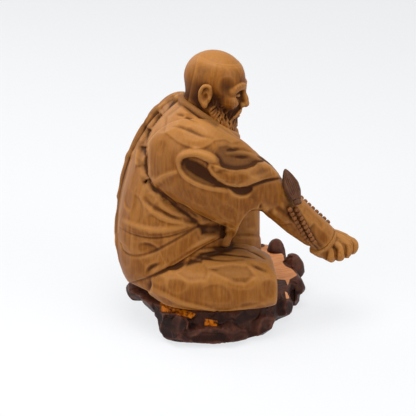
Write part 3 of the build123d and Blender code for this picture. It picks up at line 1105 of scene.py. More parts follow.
    def scallop(self, inner: Path, outer: Path, count: int, depth: float, slant: float) -> None:
        """Cut a row of slanting gouge cuts between two lines of the reference view.

        Args:
            inner: The line along which the cuts are deep.
            outer: The line at which they run out.
            count: How many there are.
            depth: How deep they start.
            slant: How much of the depth is lost along a cut.
        """
        outline = np.vstack([inner, outer[::-1]])
        index, places, facing = self._facing(outline, 0.8)
        lines = [along(line, 240) for line in (inner, outer)]
        gaps = [((places[:, None] - line[None]) ** 2).sum(2) for line in lines]
        place = np.argmin(gaps[0], axis=1) / 239.0 * count
        near, far = (np.sqrt(gap.min(1)) for gap in gaps)
        along_cut = place - np.floor(place)
        change = depth * (far / np.maximum(near + far, 1e-6)) * (1.0 - slant * along_cut)
        change *= step(along_cut - 0.04, 0.05) * step(inside(outline, places), 0.8) * facing
        self.values[index] += change.astype(np.float32)

    def skin(self) -> "Skin":
        """The block's surface.

        Returns:
            Its largest closed sheet.
        """
        grid = openvdb.FloatGrid(self.REACH)
        grid.copyFromArray(np.ascontiguousarray(self.values))
        points, _, quads = grid.convertToPolygons(isovalue=0.0, adaptivity=0.0)
        return Skin(points.astype(float) * self.pitch + self.low, quads.astype(int)).largest()


@dataclass
class Skin:
    """A closed surface as arrays: points in millimetres, and quads."""

    points: Array
    quads: Array

    def edges(self) -> Array:
        """Each quad's sides as pairs of points."""
        return np.vstack([self.quads[:, [k, (k + 1) % 4]] for k in range(4)])

    def largest(self) -> "Skin":
        """The surface without small loose sheets.

        Returns:
            Its largest sheet.
        """
        label = np.arange(len(self.points))
        first, second = self.edges().T
        while True:
            lower = np.minimum(label[first], label[second])
            new = label.copy()
            np.minimum.at(new, first, lower)
            np.minimum.at(new, second, lower)
            new = new[new]
            if (new == label).all():
                break
            label = new
        names, counts = np.unique(label, return_counts=True)
        keep = label == names[counts.argmax()]
        number = np.cumsum(keep) - 1
        return Skin(self.points[keep], number[self.quads[keep[self.quads[:, 0]]]])

    def normals(self) -> Array:
        """Outward directions at the points.

        Returns:
            Unit directions.
        """
        a, b, c, d = (self.points[self.quads[:, k]] for k in range(4))
        across = np.cross(c - a, d - b)
        total = np.zeros_like(self.points)
        for k in range(4):
            np.add.at(total, self.quads[:, k], across)
        return total / np.maximum(np.linalg.norm(total, axis=1, keepdims=True), 1e-9)

    def relax(self, rounds: int, strength: float = 0.5) -> None:
        """Even out the surface.

        Args:
            rounds: How often.
            strength: How far a point moves to its neighbours' middle.
        """
        first, second = self.edges().T
        count = sum(np.bincount(ends, minlength=len(self.points)) for ends in (first, second))
        for _ in range(rounds):
            total = np.zeros_like(self.points)
            np.add.at(total, first, self.points[second])
            np.add.at(total, second, self.points[first])
            self.points += (total / count[:, None] - self.points) * strength

    def facet(
        self, spacing: float, seed: int, tilt: float, depth: float, strength: Array | float = 1.0
    ) -> None:
        """Cut flat chisel facets.

        Args:
            spacing: About how wide a facet is, in millimetres.
            seed: Fixes where the facets lie.
            tilt: How far facets lean at random, in degrees.
            depth: The most that a cut moves the surface, in millimetres.
            strength: How much of the cut is made, for each point.
        """
        rng = np.random.default_rng(seed)
        normals = self.normals()
        free = np.ones(len(self.points), bool)
        seeds = []
        for index in rng.permutation(len(self.points)):
            if free[index]:
                seeds.append(index)
                reach = spacing * rng.uniform(0.6, 1.35)
                free &= ((self.points - self.points[index]) ** 2).sum(1) > reach ** 2
        places, leans = self.points[seeds], normals[seeds]
        leans = leans + rng.normal(0.0, math.tan(math.radians(tilt)), leans.shape)
        leans /= np.linalg.norm(leans, axis=1, keepdims=True)
        moved = np.zeros(len(self.points))
        for start in range(0, len(self.points), 20000):
            part = slice(start, start + 20000)
            here, out = self.points[part], normals[part]
            gaps = (here ** 2).sum(1)[:, None] + (places ** 2).sum(1)[None] - 2.0 * here @ places.T
            gaps += 160.0 * (1.0 - out @ leans.T)
            near = np.argpartition(gaps, 4, axis=1)[:, :4]
            gap = np.take_along_axis(gaps, near, 1)
            weight = np.exp(-(gap - gap.min(1, keepdims=True)) / (0.08 * spacing ** 2))
            lean = leans[near]
            rise = ((places[near] - here[:, None]) * lean).sum(2)
            rise /= np.maximum((out[:, None] * lean).sum(2), 0.4)
            moved[part] = (weight * rise).sum(1) / weight.sum(1)
        self.points += normals * (np.clip(moved, -depth, depth) * strength)[:, None]

    def object(self, name: str) -> Item:
        """The surface as an object at the origin, in metres.

        Args:
            name: The object's name.

        Returns:
            The object.
        """
        mesh = bpy.data.meshes.new(name)
        mesh.from_pydata((self.points * MM).tolist(), [], self.quads.tolist())
        mesh.update()
        return link(name, mesh)


def link(name: str, mesh: bpy.types.Mesh) -> Item:
    """Put a mesh in the scene.

    Args:
        name: The object's name.
        mesh: The mesh.

    Returns:
        The object.
    """
    made = bpy.data.objects.new(name, mesh)
    bpy.context.scene.collection.objects.link(made)
    return made


def discard(*objects: Item) -> None:
    """Remove helper objects and their meshes.

    Args:
        objects: The objects.
    """
    for item in objects:
        mesh = item.data
        bpy.data.objects.remove(item)
        bpy.data.meshes.remove(mesh)


def prism(name: str, outline: Sequence[Pair], axis: int, low: float, high: float) -> Item:
    """A straight-sided solid.

    Args:
        name: The object's name.
        outline: Its outline on the other two axes, in millimetres.
        axis: The axis it runs along, 0 to 2.
        low: Where it starts.
        high: Where it ends.

    Returns:
        The object.
    """
    first, second = [k for k in range(3) if k != axis]
    shell = bmesh.new()
    rows = []
    for level in (low, high):
        row = []
        for u, v in outline:
            place = [0.0, 0.0, 0.0]
            place[first], place[second], place[axis] = u * MM, v * MM, level * MM
            row.append(shell.verts.new(place))
        rows.append(row)
        shell.faces.new(row)
    for k in range(len(outline)):
        n = (k + 1) % len(outline)
        shell.faces.new((rows[0][k], rows[0][n], rows[1][n], rows[1][k]))
    bmesh.ops.recalc_face_normals(shell, faces=shell.faces)
    bmesh.ops.triangulate(shell, faces=shell.faces)
    mesh = bpy.data.meshes.new(name)
    shell.to_mesh(mesh)
    shell.free()
    return link(name, mesh)


def evaluated(item: Item, name: str) -> bpy.types.Mesh:
    """Apply an object's modifier to a copy of its mesh, and remove it.

    Args:
        item: The object.
        name: The new mesh's name.

    Returns:
        The mesh.
    """
    mesh = bpy.data.meshes.new_from_object(item.evaluated_get(bpy.context.evaluated_depsgraph_get()))
    item.modifiers.clear()
    mesh.name = name
    return mesh


def sawn(whole: Item, tool: Item, name: str) -> Item:
    """The part of a carving that lies in a solid, with flat saw faces.

    Args:
        whole: The carving.
        tool: The solid.
        name: The new piece's name.

    Returns:
        The piece.
    """
    saw = whole.modifiers.new("saw", "BOOLEAN")
    saw.operation = "INTERSECT"
    saw.object = tool
    saw.solver = "MANIFOLD"
    return link(name, evaluated(whole, name))


def points_of(piece: Item) -> Array:
    """A piece's points.

    Args:
        piece: The piece.

    Returns:
        The points, in millimetres.
    """
    out = np.empty(len(piece.data.vertices) * 3, np.float32)
    piece.data.vertices.foreach_get("co", out)
    return out.reshape(-1, 3).astype(float) / MM


def mark_layer(piece: Item, layer: Layer, values: Array) -> None:
    """Store one number for each point of a piece, for its finish.

    Args:
        piece: The piece.
        layer: Where they are stored.
        values: The numbers.
    """
    layers = piece.data.attributes
    stored = layers.get(layer.value) or layers.new(layer.value, "FLOAT", "POINT")
    stored.data.foreach_set("value", np.ascontiguousarray(values, np.float32))


def layer_of(piece: Item, layer: Layer) -> Array:
    """The numbers stored at a piece's points.

    Args:
        piece: The piece.
        layer: Where they are stored.

    Returns:
        The numbers, or zeros where there are none.
    """
    out = np.zeros(len(piece.data.vertices), np.float32)
    stored = piece.data.attributes.get(layer.value)
    if stored:
        stored.data.foreach_get("value", out)
    return out


def tint(piece: Item, tints: Iterable[Tint]) -> None:
    """Change a piece's layers where it faces the reference view.

    Args:
        piece: The piece.
        tints: The areas of the view, in order.
    """
    points = points_of(piece)
    normals = np.empty(len(points) * 3, np.float32)
    piece.data.vertex_normals.foreach_get("vector", normals)
    facing = step(normals.reshape(-1, 3) @ SIGHT.axes()[2], 0.15)
    places = SIGHT.places(points)
    for area in tints:
        share = step(inside(area.outline, places), area.soft) * facing
        if share.any():
            level = layer_of(piece, area.layer) + area.amount * share
            mark_layer(piece, area.layer, np.clip(level, 0.0, 1.0))


@dataclass(frozen=True)
class Crevices:
    """How painted shade in hollows, and pale worn edges with painted highlights on crests, are read from a
    block at several sizes.
    """

    # Size of the hollows, the depth that counts as full, both in millimetres, and how much painted shade that
    # adds.
    sizes: tuple[Triple, ...] = ((1.8, 0.4, 0.50), (4.5, 0.9, 0.55), (10.0, 1.6, 0.55), (20.0, 2.4, 0.40))
    crest_scale: float = 0.4
    threshold: float = 0.05
    rounds: int = 8

    def paint(self, block: Block, pieces: Iterable[Item], local: Array | None = None) -> None:
        """Mark painted shade in hollows, and worn edges with painted highlights on crests, on pieces carved
        from a block.

        Args:
            block: The block.
            pieces: The pieces.
            local: Their points in the block's own frame, if that isn't the object's.
        """
        strides = [max(1, round(size / 2.0 / block.pitch)) for size, _, _ in self.sizes]
        fields = [block.blurred(self.rounds, stride) for stride in strides]
        for piece in pieces:
            points = points_of(piece) if local is None else local
            here = block.sample(block.values, points)
            depths = [block.sample(values, points, stride) - here for values, stride in zip(fields, strides)]
            rows = zip(depths, self.sizes)
            # Painted shade: the deeper the surface lies below its smoothed surroundings, the darker, summed
            # over the sizes.
            dark = sum(np.clip(-depth / full, 0, 1) * share for depth, (_, full, share) in rows)
            mark_layer(piece, Layer.PAINTED_SHADE, np.clip(dark - self.threshold, 0, 1))
            # Convex crests: pale worn edges with a painted highlight.
            mark_layer(piece, Layer.EDGE_WEAR_AND_HIGHLIGHT, np.clip(depths[0] / self.crest_scale, 0, 1))


def settle(piece: Item, body: Body, slot: Slot, finish: Material, *nodes: str) -> None:
    """Dress a piece and tie it to the frame.

    Args:
        piece: The finished piece.
        body: The body that it moves with.
        slot: The record's material slot; not used.
        finish: Its material.
        nodes: The CAD nodes that it stands for.
    """
    piece.data.shade_smooth()
    piece.data.set_sharp_from_angle(angle=math.radians(38.0))
    piece.data.materials.clear()
    piece.data.materials.append(finish)
    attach(piece, body.value)
    if nodes:
        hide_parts(*nodes)
    LOG.info("%s: %d faces", piece.name, len(piece.data.polygons))


# The figure


@dataclass(frozen=True)
class ArmLine:
    """The right forearm's own frame: along from elbow to wrist, side to the figure's left, top upward."""

    elbow: Triple = (20, -58, 154)
    wrist: Triple = (81, -48.7, 93)

    def axes(self) -> Array:
        """Side, top and along directions as rows.

        Returns:
            Unit directions.
        """
        forward = np.subtract(self.wrist, self.elbow)
        forward = forward / np.linalg.norm(forward)
        side = np.cross((0, 0, 1), forward)
        side = side / np.linalg.norm(side)
        return np.array((side, np.cross(forward, side), forward))

    def length(self) -> float:
        """Distance from elbow to wrist."""
        return float(np.linalg.norm(np.subtract(self.wrist, self.elbow)))

    def points(self, local: Path) -> Array:
        """Points given as side, top and along."""
        return np.asarray(local, float) @ self.axes() + np.asarray(self.elbow)


ARM = ArmLine()


@dataclass
class Robe:
    """The draped body with the bare forearm, carved as one and sawn into its blocks."""

    pitch: float = 0.9
    seal: float = 0.7
    facet_width: float = 21.0
    facet_tilt: float = 4.0
    lap_end: float = 30.0
    nodes: tuple[str, ...] = (
        "lap_block", "left_leg", "trunk_front", "trunk_back", "right_sleeve", "left_sleeve", "right_forearm",
    )
    fillers: tuple[str, ...] = (
        "trunk_dowels", "coronal_dowels", "sleeve_dowels", "leg_dowels", "seat_pegs", "elbow_dowel",
    )
    # Lines on the reference view.
    loop_lip: Path = (
        (178.7, 165), (180.4, 171), (185.6, 177.7), (194.7, 183.4), (204.4, 187), (214.1, 189.5),
        (226.2, 191.6),
    )
    loop_hollow: Path = (
        (180.4, 162.6), (182.6, 158.7), (188.6, 158.3), (195.9, 160.4), (203.2, 163.8), (207.4, 168.6),
        (211.6, 175.3), (218.9, 181.9), (225, 186.2), (214.1, 187.8), (204.4, 185.6), (194.7, 181.3),
        (185.9, 175.3), (181.3, 169.2),
    )
    loop_slit: Path = ((187.4, 168.6), (194.7, 172.2), (203.2, 176.5), (211.6, 181.9))
    ribbon: Path = (
        (180, 163), (182.5, 157.5), (189, 154.5), (197, 154.3), (205, 157.5), (212, 161.5), (218, 166),
    )
    ribbon_radii: tuple[float, ...] = (1.4, 2.2, 2.8, 3.4, 4.2, 4.4, 3)
    ribbon_heights: tuple[float, ...] = (0.3, 1, 1.4, 1.8, 2.2, 1.8, -0.5)
    band: Path = (
        (209, 163), (216, 165.5), (222.8, 167.8), (229, 169.6), (236, 170.2), (246, 168.9), (254, 166.2),
        (257.8, 162.8), (264.5, 161.7), (271, 165.5), (278, 172.8), (280, 177), (266, 180), (255.5, 183.5),
        (247, 186.8), (236, 187.6), (227, 185.2), (218, 180.6), (211.5, 174.6), (208, 168.5),
    )
    band_middle: Path = (
        (219, 173), (230, 175.5), (242, 175), (254, 171.5), (262, 167.5), (268, 170.5), (262, 175.5),
        (250, 180), (238, 182.5), (228, 180.5),
    )
    valley: Path = (
        (214, 153), (219, 146.5), (228, 145.5), (234, 149.5), (244, 153), (254, 156.5), (262, 160.5),
        (258.5, 164.8), (248, 169.6), (236, 171.4), (225, 169.4), (218, 163),
    )
    elbow: Path = (
        (252, 186), (266, 181), (280, 178.5), (284, 186), (284, 203), (274, 210), (262, 206), (250, 198),
    )
    under_sleeve: Path = (
        (264, 205), (258.5, 207.2), (251, 210), (246, 213.5), (241.5, 221), (236, 231), (230, 241),
        (245, 252), (275, 232),
    )
    sleeve_front: Path = ((206, 120), (222, 124), (246, 142), (262, 160), (248, 158), (222, 146))
    hanging: Path = ((236, 214, 41), (232, 224, 37), (228.5, 234, 33.5), (226, 243, 31))
    shin: Path = ((246.5, 214), (258, 208), (261, 228), (264, 244), (256, 250), (232, 241))
    arm_low: Path = ((262, 194, 62), (278, 208, 50), (295, 222.5, 38), (310, 235, 30))
    back_edge: Path = (
        (175, 90), (162, 100), (149.4, 113), (143, 123), (137.7, 133), (130, 151), (124.2, 175),
        (119.9, 190), (115.4, 218), (114.6, 233),
    )
    cuff_low: Path = (
        (209, 176), (217, 183.5), (229, 187.5), (243, 187.5), (255, 183.5), (265, 180), (277, 179),
    )
    pleats: tuple[Path, ...] = (
        ((227.4, 153.7), (235.9, 153.7), (245.6, 154.9), (255.3, 155.6)),
        ((246.2, 157.9), (254, 158.6), (264.9, 161.8)),
    )
    pleat_grooves: tuple[Path, ...] = (
        ((227.4, 151), (233.4, 149.8), (240.7, 149), (250.4, 151.4)),
        ((236.5, 156.7), (246.8, 157), (256.5, 159.2)),
    )
    shoulder_grooves: tuple[Path, ...] = (
        ((176.5, 114.3), (182.6, 115.3), (189.8, 118.9), (197.7, 123)),
        ((173.1, 126.2), (180.1, 126.9), (189.8, 130.4), (201.9, 135.9), (211.6, 138.3)),
    )
    shoulder_facet: Path = (
        (165, 132), (177.7, 142), (185, 145.6), (194.7, 148.6), (203.2, 148), (210.4, 144.4),
        (214.7, 140.7), (225, 139.5), (231.6, 143.2), (240, 141), (222, 129), (200, 115), (182, 106),
        (168, 117),
    )
    strip_inner: Path = (
        (178.3, 100.1), (168, 110.4), (158.9, 120.1), (152.3, 129.8), (148.3, 139.5), (146.4, 152.9),
        (146.8, 163.8), (148.6, 173.5), (152, 181.9), (156.5, 191.6),
    )
    strip_outer: Path = (
        (172.9, 94.1), (162.6, 102), (152.9, 111.1), (145, 121.4), (140.1, 133.5), (137.5, 145.6),
        (136.7, 157.7), (138.7, 169.8), (141.4, 181.9), (145.6, 192.8),
    )
    scallops: int = 6
    far_strip: Path = (
        (-58, 22, 217), (-74, 28, 207), (-88, 29, 193), (-98, 27, 178), (-106, 23, 162), (-112, 17, 144),
        (-116, 10, 125),
    )
    left_seam: Path = (
        (-60, 42, 209), (-72, 39, 202), (-79, 39, 194), (-83, 40, 185), (-85, 40, 177), (-88, 40, 168),
    )
    sleeve_under: Path = (
        (152, 181.9), (158.3, 191.6), (165.6, 198.3), (175.3, 206.2), (185, 213.4), (194.7, 220.7),
        (199.5, 224.6),
    )
    sleeve_ridge: Path = ((-88, -46, 161), (-83, -59, 169), (-77, -67, 176), (-67, -75, 184))
    waist_grooves: tuple[Path, ...] = (
        ((145, 200.1), (151, 206.2), (159.5, 212.2), (170.4, 216.5), (182.6, 218.9), (194.7, 222.2)),
        (
            (123.2, 228.6), (129.2, 232.2), (138.9, 235.3), (151, 237.1), (163.2, 236.5), (175.3, 234),
            (187.4, 229.8), (198.3, 225.6),
        ),
    )
    waist_ridges: tuple[Path, ...] = (
        ((157.1, 201.3), (168, 210.4), (180.1, 216.1), (189.8, 219.3)),
        ((146.2, 205), (155.9, 213.4), (168, 219.5), (182.6, 222.2)),
        ((123.2, 220.7), (135.3, 225.6), (151, 229.8), (168, 229.2), (183.8, 226.5)),
    )
    hem_line: Path = (
        (120.8, 243.7), (123.8, 251), (130.4, 255.2), (140.1, 255.9), (153.5, 251.6), (168, 244.3),
        (182.6, 235.9), (198.3, 226.2),
    )
    hem: Path = (
        (130, 282), (141.4, 278.9), (152.3, 275), (163.2, 270.4), (175.3, 263.7), (187.4, 255.9),
        (199.5, 248), (209.2, 242.5), (218.9, 237.7), (224.4, 234),
    )
    hem_ridge: Path = ((189.8, 249.8), (199.5, 243.7), (209.2, 238.9), (218.9, 233.1))
    pocket: Path = (
        (198.9, 225.6), (209.2, 224.4), (225, 224.4), (226.2, 230.4), (222.5, 236.5), (211.6, 234.6),
        (201.9, 234),
    )
    lap_folds: tuple[Path, ...] = (
        ((199.3, 249.4), (212, 247.8), (224.8, 248.8), (237.6, 247.8), (247.8, 249.4)),
        ((194.2, 253.9), (206.9, 253.9), (224.8, 254.5), (243.9, 256.4), (254.1, 258.3)),
        ((191.6, 256.4), (206.9, 258.7), (224.8, 260.5), (242.7, 259.6)),
    )
    lap_shade: Path = (
        (198, 247.5), (212, 244.9), (237.6, 245.6), (249, 250.1), (254.1, 259), (241.4, 261.5),
        (212, 260.3), (191.6, 256.4),
    )
    lap_facets: tuple[Path, ...] = (
        (
            (209.5, 269.2), (219.7, 267.3), (232.4, 265.4), (247.8, 266.6), (254.4, 276.2), (245.2, 283),
            (235, 282.2), (219.7, 274.3),
        ),
        ((178.9, 273), (190.4, 259), (201.8, 260.3), (208.2, 269.2), (205.7, 279.4), (189.1, 280.7)),
    )
    lap_dimple: Path = ((249.7, 263.1), (256.7, 266.6), (265, 270.7))
    lap_bevel: Path = (
        (139.3, 283.2), (161, 293.4), (181.4, 303), (199.3, 307.2), (218.4, 310.6), (232.4, 309.7),
        (250.3, 306.8), (274.5, 300.4),
    )
    leg_crease: Path = ((238.8, 236), (249, 235.8), (259.2, 236.8))
    leg_foot: Path = ((249, 250.7), (256.7, 253.9), (263.7, 258.3))
    muscle: Path = ((271, 201.5), (275, 204.5), (281.7, 210.5), (288.4, 215.4), (296, 222.5))
    cords: tuple[Path, ...] = (
        ((308.5, 236), (312.5, 240.7), (316.5, 244.7), (321.2, 249.4)),
        ((305.1, 238), (309.8, 242), (314.5, 247), (318.5, 251.4)),
    )
    # Darker collar: stain, with painted shadow under the head.
    collar_shade: Path = (
        (178, 92), (186, 99), (197, 106), (212, 115), (222, 123), (216, 127), (200, 118.5), (187, 112),
        (178, 104),
    )
    bead_shade: Path = (
        (281, 196), (290, 199), (299, 211), (311, 229), (323, 247), (318, 252), (305, 238), (294, 223),
        (284, 207),
    )
    shoulder_arris: Path = ((151.4, 182), (156, 181), (163, 176.5), (176, 172.2))
    # Points of the object: the collar's roll from nape to breast, and folds that the view doesn't show.
    collar: Path = (
        (-54, 0, 225.5), (-52, 11, 224.5), (-45, 20, 220.5), (-34, 25.5, 213.5), (-20, 26, 204),
        (-8, 19, 195), (-2, 8, 188), (-1, 0, 185),
    )
    hidden_folds: tuple[tuple, ...] = (
        (((-95, 47, 144), (-85, 55, 139), (-74, 59, 133), (-60, 61, 128), (-44, 59, 121)),
         (3.5, 4, 3), (-0.5, -2.4, -1), Profile.CREASE),
        (((-116, 23, 104), (-108, 40, 108), (-96, 52, 108), (-79, 59, 109), (-63, 61, 114), (-44, 59, 120)),
         (3.5, 4, 3), (-0.5, -2.6, -1), Profile.CREASE),
        (((-112, 36, 82), (-104, 47, 85), (-88, 57, 95), (-70, 61, 105), (-50, 61, 115)),
         2.5, (-0.4, -1.6, -0.8), Profile.CREASE),
        (((-119, 0, 96), (-117, 18, 90), (-112, 34, 88), (-104, 46, 92)), 6, (0, 1.6, 0.6)),
        (((-30, 82, 200), (-20, 86, 180), (-12, 84, 160), (-6, 78, 145)),
         (4, 5, 4), (-0.5, -2.2, -1), Profile.CREASE),
        (((-46, 84, 205), (-42, 88, 185), (-38, 88, 160), (-34, 82, 140)),
         5, (-0.3, -1.8, -0.6), Profile.CREASE),
        (((-38, 86, 200), (-32, 88, 180), (-26, 86, 160), (-22, 80, 142)), 7, (0.2, 1.8, 0.5)),
        (((-62, 80, 190), (-66, 78, 170), (-66, 70, 148)), 5, (-0.3, -1.6, -0.5), Profile.CREASE),
        (((30, 30, 120), (33, 34, 95), (34, 36, 70), (34, 36, 45)), 4.5, (-0.4, -1.8, -1), Profile.CREASE),
        (((24, 52, 122), (28, 56, 95), (28, 58, 70), (26, 58, 45)), 4.5, (-0.4, -1.6, -1), Profile.CREASE),
        (((27, 42, 122), (31, 46, 95), (32, 48, 70), (31, 48, 45)), 6.5, (0.3, 1.5, 0.8)),
        (((0, 62, 118), (-10, 66, 90), (-20, 66, 62)), 4.5, (-0.3, -1.7, -0.8), Profile.CREASE),
        (((-30, 64, 84), (-40, 66, 66), (-52, 64, 50)), 4.5, (-0.3, -1.7, -0.8), Profile.CREASE),
        (((0, -20, 186), (4, -6, 172), (5, 8, 156), (3, 22, 138)),
         (9, 10, 8), (0.5, 2.4, 0.6), Profile.LEDGE),
        (((2, -26, 176), (5, -16, 160), (4, -8, 144), (0, -4, 126)), 4, (-0.4, -1.8, -0.8), Profile.CREASE),
        (((0, -34, 164), (1, -28, 148), (-2, -24, 130), (-4, -22, 112)),
         4, (-0.4, -1.8, -0.8), Profile.CREASE),
        (((26, -20, 60), (30, -14, 50), (32, -8, 40)), 4, (-0.4, -1.6, -0.8), Profile.CREASE),
        (((34, -44, 66), (37, -38, 54), (36, -34, 42)), 4, (-0.4, -1.4, -0.8), Profile.CREASE),
        (((-104, 8, 176), (-108, 28, 160), (-104, 40, 140)), 6, (0.2, 1.4, 0.4)),
        (((-96, -10, 190), (-90, 20, 192), (-80, 44, 196)), 4, (-0.2, -1.2, -0.4), Profile.CREASE),
    )
    block: Block = field(init=False)

    def __post_init__(self) -> None:
        """Take the block's size from the frame."""
        self.block = Block.around(self.nodes, 9, self.pitch)

    def carve(self) -> None:
        """Rough out the block from the CAD solids and carve its folds."""
        block = self.block
        block.values = block.node_field((*self.nodes, *self.fillers))
        block.values = np.clip(block.values - self.seal, -block.REACH, block.REACH)
        block.values = block.blurred(5) + self.seal
        block.chisel(self.facet_width, self.facet_tilt, 7)
        low, high = (corner.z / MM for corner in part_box("lap_block"))
        inner_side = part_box("right_sleeve")[1].y / MM
        block.trim(self.under_sleeve, (-40, -110, high + 2), (60, inner_side, 150))
        self._arm()
        self._sleeve()
        self._mantle()
        self._waist()
        self._lap()
        self._collar()
        for fold in self.hidden_folds:
            block.carve(*fold)
        block.soften(self.elbow, 7, 3)
        block.saw_end((0, -200, 0), (60, 6, high - 2), self.lap_end, 3)
        block.keep(low - block.levels())

    def _arm(self) -> None:
        """The elbow where it leaves the cuff, the muscle line, and the rosary's cords at the wrist."""
        block = self.block
        block.add(Ball((15, -58.5, 158), (15, 21, 24.5)), 8)
        length = ARM.length()
        block.add(Stroke(ARM.points([(0, 0, length - 14), (0, 0, length)]), (13, 12)), 2)
        block.add(Stroke(SIGHT.at(self.arm_low), (12, 12.4, 12.4, 10.5)), 4)
        for name in Rosary.rows:
            block.carve(Rosary.beads(name)[0], 4.4, (-0.8, -1.4, -1.4, -0.8))
        block.crease(self.muscle, (4, 4.5, 4, 3), (-1.2, -2, -1.6, -0.4))
        block.carve([(x - 4, y + 5) for x, y in self.muscle], 5, (0.6, 1, 0.6, 0.2))
        for path in self.cords:
            block.roll(path, (1, 1.1, 1), 0.3, 0.4)

    def _sleeve(self) -> None:
        """The turned-back loop, the cuff band and the pleats of the right sleeve."""
        block = self.block
        block.press(self.shoulder_facet, 0.8, 1.2)
        block.press(self.loop_hollow, -1.4, 2)
        block.crease(self.loop_slit, (5, 6, 4.5), (-0.8, -2, -1.2))
        block.bridge(self.valley, 5)
        block.soften(self.valley, 5, 2)
        block.press(self.band, 2.6, 1.2)
        block.press(self.band_middle, -0.7, 4)
        lifts = [height - radius for height, radius in zip(self.ribbon_heights, self.ribbon_radii)]
        block.roll(self.ribbon, self.ribbon_radii, lifts, 1.2)
        block.carve(self.loop_lip, 3, (1, 1.6, 1.4, 0.4))
        block.carve(self.cuff_low, (3.5, 4, 3), (-0.5, -1, -0.9, -0.4))
        block.add(Stroke(SIGHT.at(self.hanging), (8, 6.5, 5, 4)), 5)
        for path in self.pleats:
            block.carve(path, (3, 3.5, 3), (0.5, 1.8, 0.6))
        for path in self.pleat_grooves:
            block.crease(path, 2.8, (-0.5, -2, -0.5))
        for path in self.shoulder_grooves:
            block.crease(path, (2.6, 3.4, 2.6), (-0.4, -1.9, -1.2, -0.3))
        block.carve(self.sleeve_ridge, (7, 6, 5), (1.6, 1.4, 0.4))
        block.carve(self.shoulder_arris, 2.2, 0.8)

    def _mantle(self) -> None:
        """The gouged step between the shoulder and the mantle over the back."""
        block = self.block
        block.ledge(self.strip_inner, (9, 11, 10), (0.6, 1.4, 1.6, 1))
        block.add(Stroke(self.left_seam, (5.5, 6, 5, 4.5, 4.5, 4)), 4)
        block.scallop(self.strip_inner, self.strip_outer, self.scallops, 3.4, 0.85)
        lifts = (-0.6, -0.8, -0.6, -0.6, -0.8, -1, -1.2)
        block.roll(self.far_strip, (3, 3.6, 3.8, 3.8, 3.6, 3.4, 2.6), lifts, 1.5)

    def _waist(self) -> None:
        """The folds that run together under the sleeve."""
        block = self.block
        block.carve(self.sleeve_under, (7, 8, 8, 6), (-1, -3, -3.6, -1.6))
        block.crease(self.sleeve_under, 2.6, (-0.4, -1.2, -1.4, -0.6))
        for path in self.waist_ridges:
            block.carve(path, (4.5, 5, 4), (0.4, 2.2, 0.8))
        upper, lower = self.waist_grooves
        block.carve(upper, (5, 6, 4.5), (-0.8, -2.6, -3, -1.2))
        block.ledge(lower, (14, 16, 12), (0.8, 2.2, 2.2, 0.8))
        block.crease(lower, (3.4, 4.2, 3.4), (-0.8, -2.2, -2.4, -1.2))
        block.crease(self.hem_line, 2.4, (-0.8, -1.6, -1.8, -1.2))
        block.press(self.pocket, -2.6, 3)
        block.ledge(self.hem, (20, 20, 16), (1.2, 2.8, 3, 1.6))
        block.crease(self.hem, (4, 4.5, 4), (-0.5, -1.8, -2.4, -1.4))
        block.carve(self.hem_ridge, 4.5, (0.4, 1.4, 0.6))

    def _lap(self) -> None:
        """Creases and facets of the cloth over the folded leg and the raised shin."""
        block = self.block
        for path in self.lap_folds:
            block.crease(path, 2.8, (-0.5, -1.5, -1.5, -0.6))
        for outline in self.lap_facets:
            block.press(outline, -1.5, 2.4)
        block.carve(self.lap_dimple, 5, (-0.8, -2.2, -0.8))
        block.carve(self.lap_bevel, 5, (0.3, 1.2, 1.2, 0.4))
        block.crease(self.leg_crease, 3, (-1, -2, -1))
        block.crease(self.leg_foot, 3.2, (-0.8, -2, -1))

    def _collar(self) -> None:
        """The collar that stands round the neck, both ways from the nape, and the breast inside it."""
        block = self.block
        block.add(Ball((-36, 0, 215), (21, 22, 13)), 3)
        lifts = (0.4, 0.8, 0.8, 0.4, -0.4, -1)
        for side in (-1, 1):
            block.roll(mirrored(self.collar, side), (3.8, 4.8, 5.2, 4.8, 4.2, 3.2), lifts, 1.2)

    def tints(self) -> list[Tint]:
        """Where painted shade darkens the robe's wood, and where painted light and painted highlights lighten
        it.

        Returns:
            The tints, in order.
        """
        strip = [*self.strip_inner, *self.strip_outer[::-1]]
        # Painted shade: loop and sleeve hollows, the band, a lap facet, the sleeve's front turned from the
        # light, the pocket, under the band's edge on the lap, beside the beads, the mantle strip, and the
        # collar, which is also stained; the shin's negative amount takes painted shade away.
        darker = (
            (self.loop_hollow, 0.65, 2), (self.valley, 0.62, 4), (self.band, 0.1, 2), (self.shin, -0.5, 1),
            (self.lap_facets[0], 0.22, 2), (self.sleeve_front, 0.2, 8), (self.pocket, 0.65, 4),
            (self.lap_shade, 0.22, 3), (self.collar_shade, 0.5, 2), (self.bead_shade, 0.5, 2),
            (strip, 0.12, 1),
        )
        # Painted light on the shin and a painted highlight on the shoulder facet.
        paler = ((self.shin, 0.6, 1), (self.shoulder_facet, 0.3, 1))
        return self._back_tints() + [
            Tint(outline, layer, amount, soft)
            for layer, rows in ((Layer.PAINTED_SHADE, darker), (Layer.EDGE_WEAR_AND_HIGHLIGHT, paler))
            for outline, amount, soft in rows
        ]

    def _back_tints(self) -> list[Tint]:
        """Painted shadow at the head of each gouge cut, and along the mantle's far border painted shade with
        a painted highlight line inside it.

        Returns:
            The tints, in order.
        """
        lines = [along(line, self.scallops * 10 + 1) for line in (self.strip_inner, self.strip_outer)]
        cells = [
            np.vstack([lines[0][k:k + 6], lines[1][k:k + 6][::-1]]) for k in range(0, self.scallops * 10, 10)
        ]
        edge = along(self.back_edge, 30)
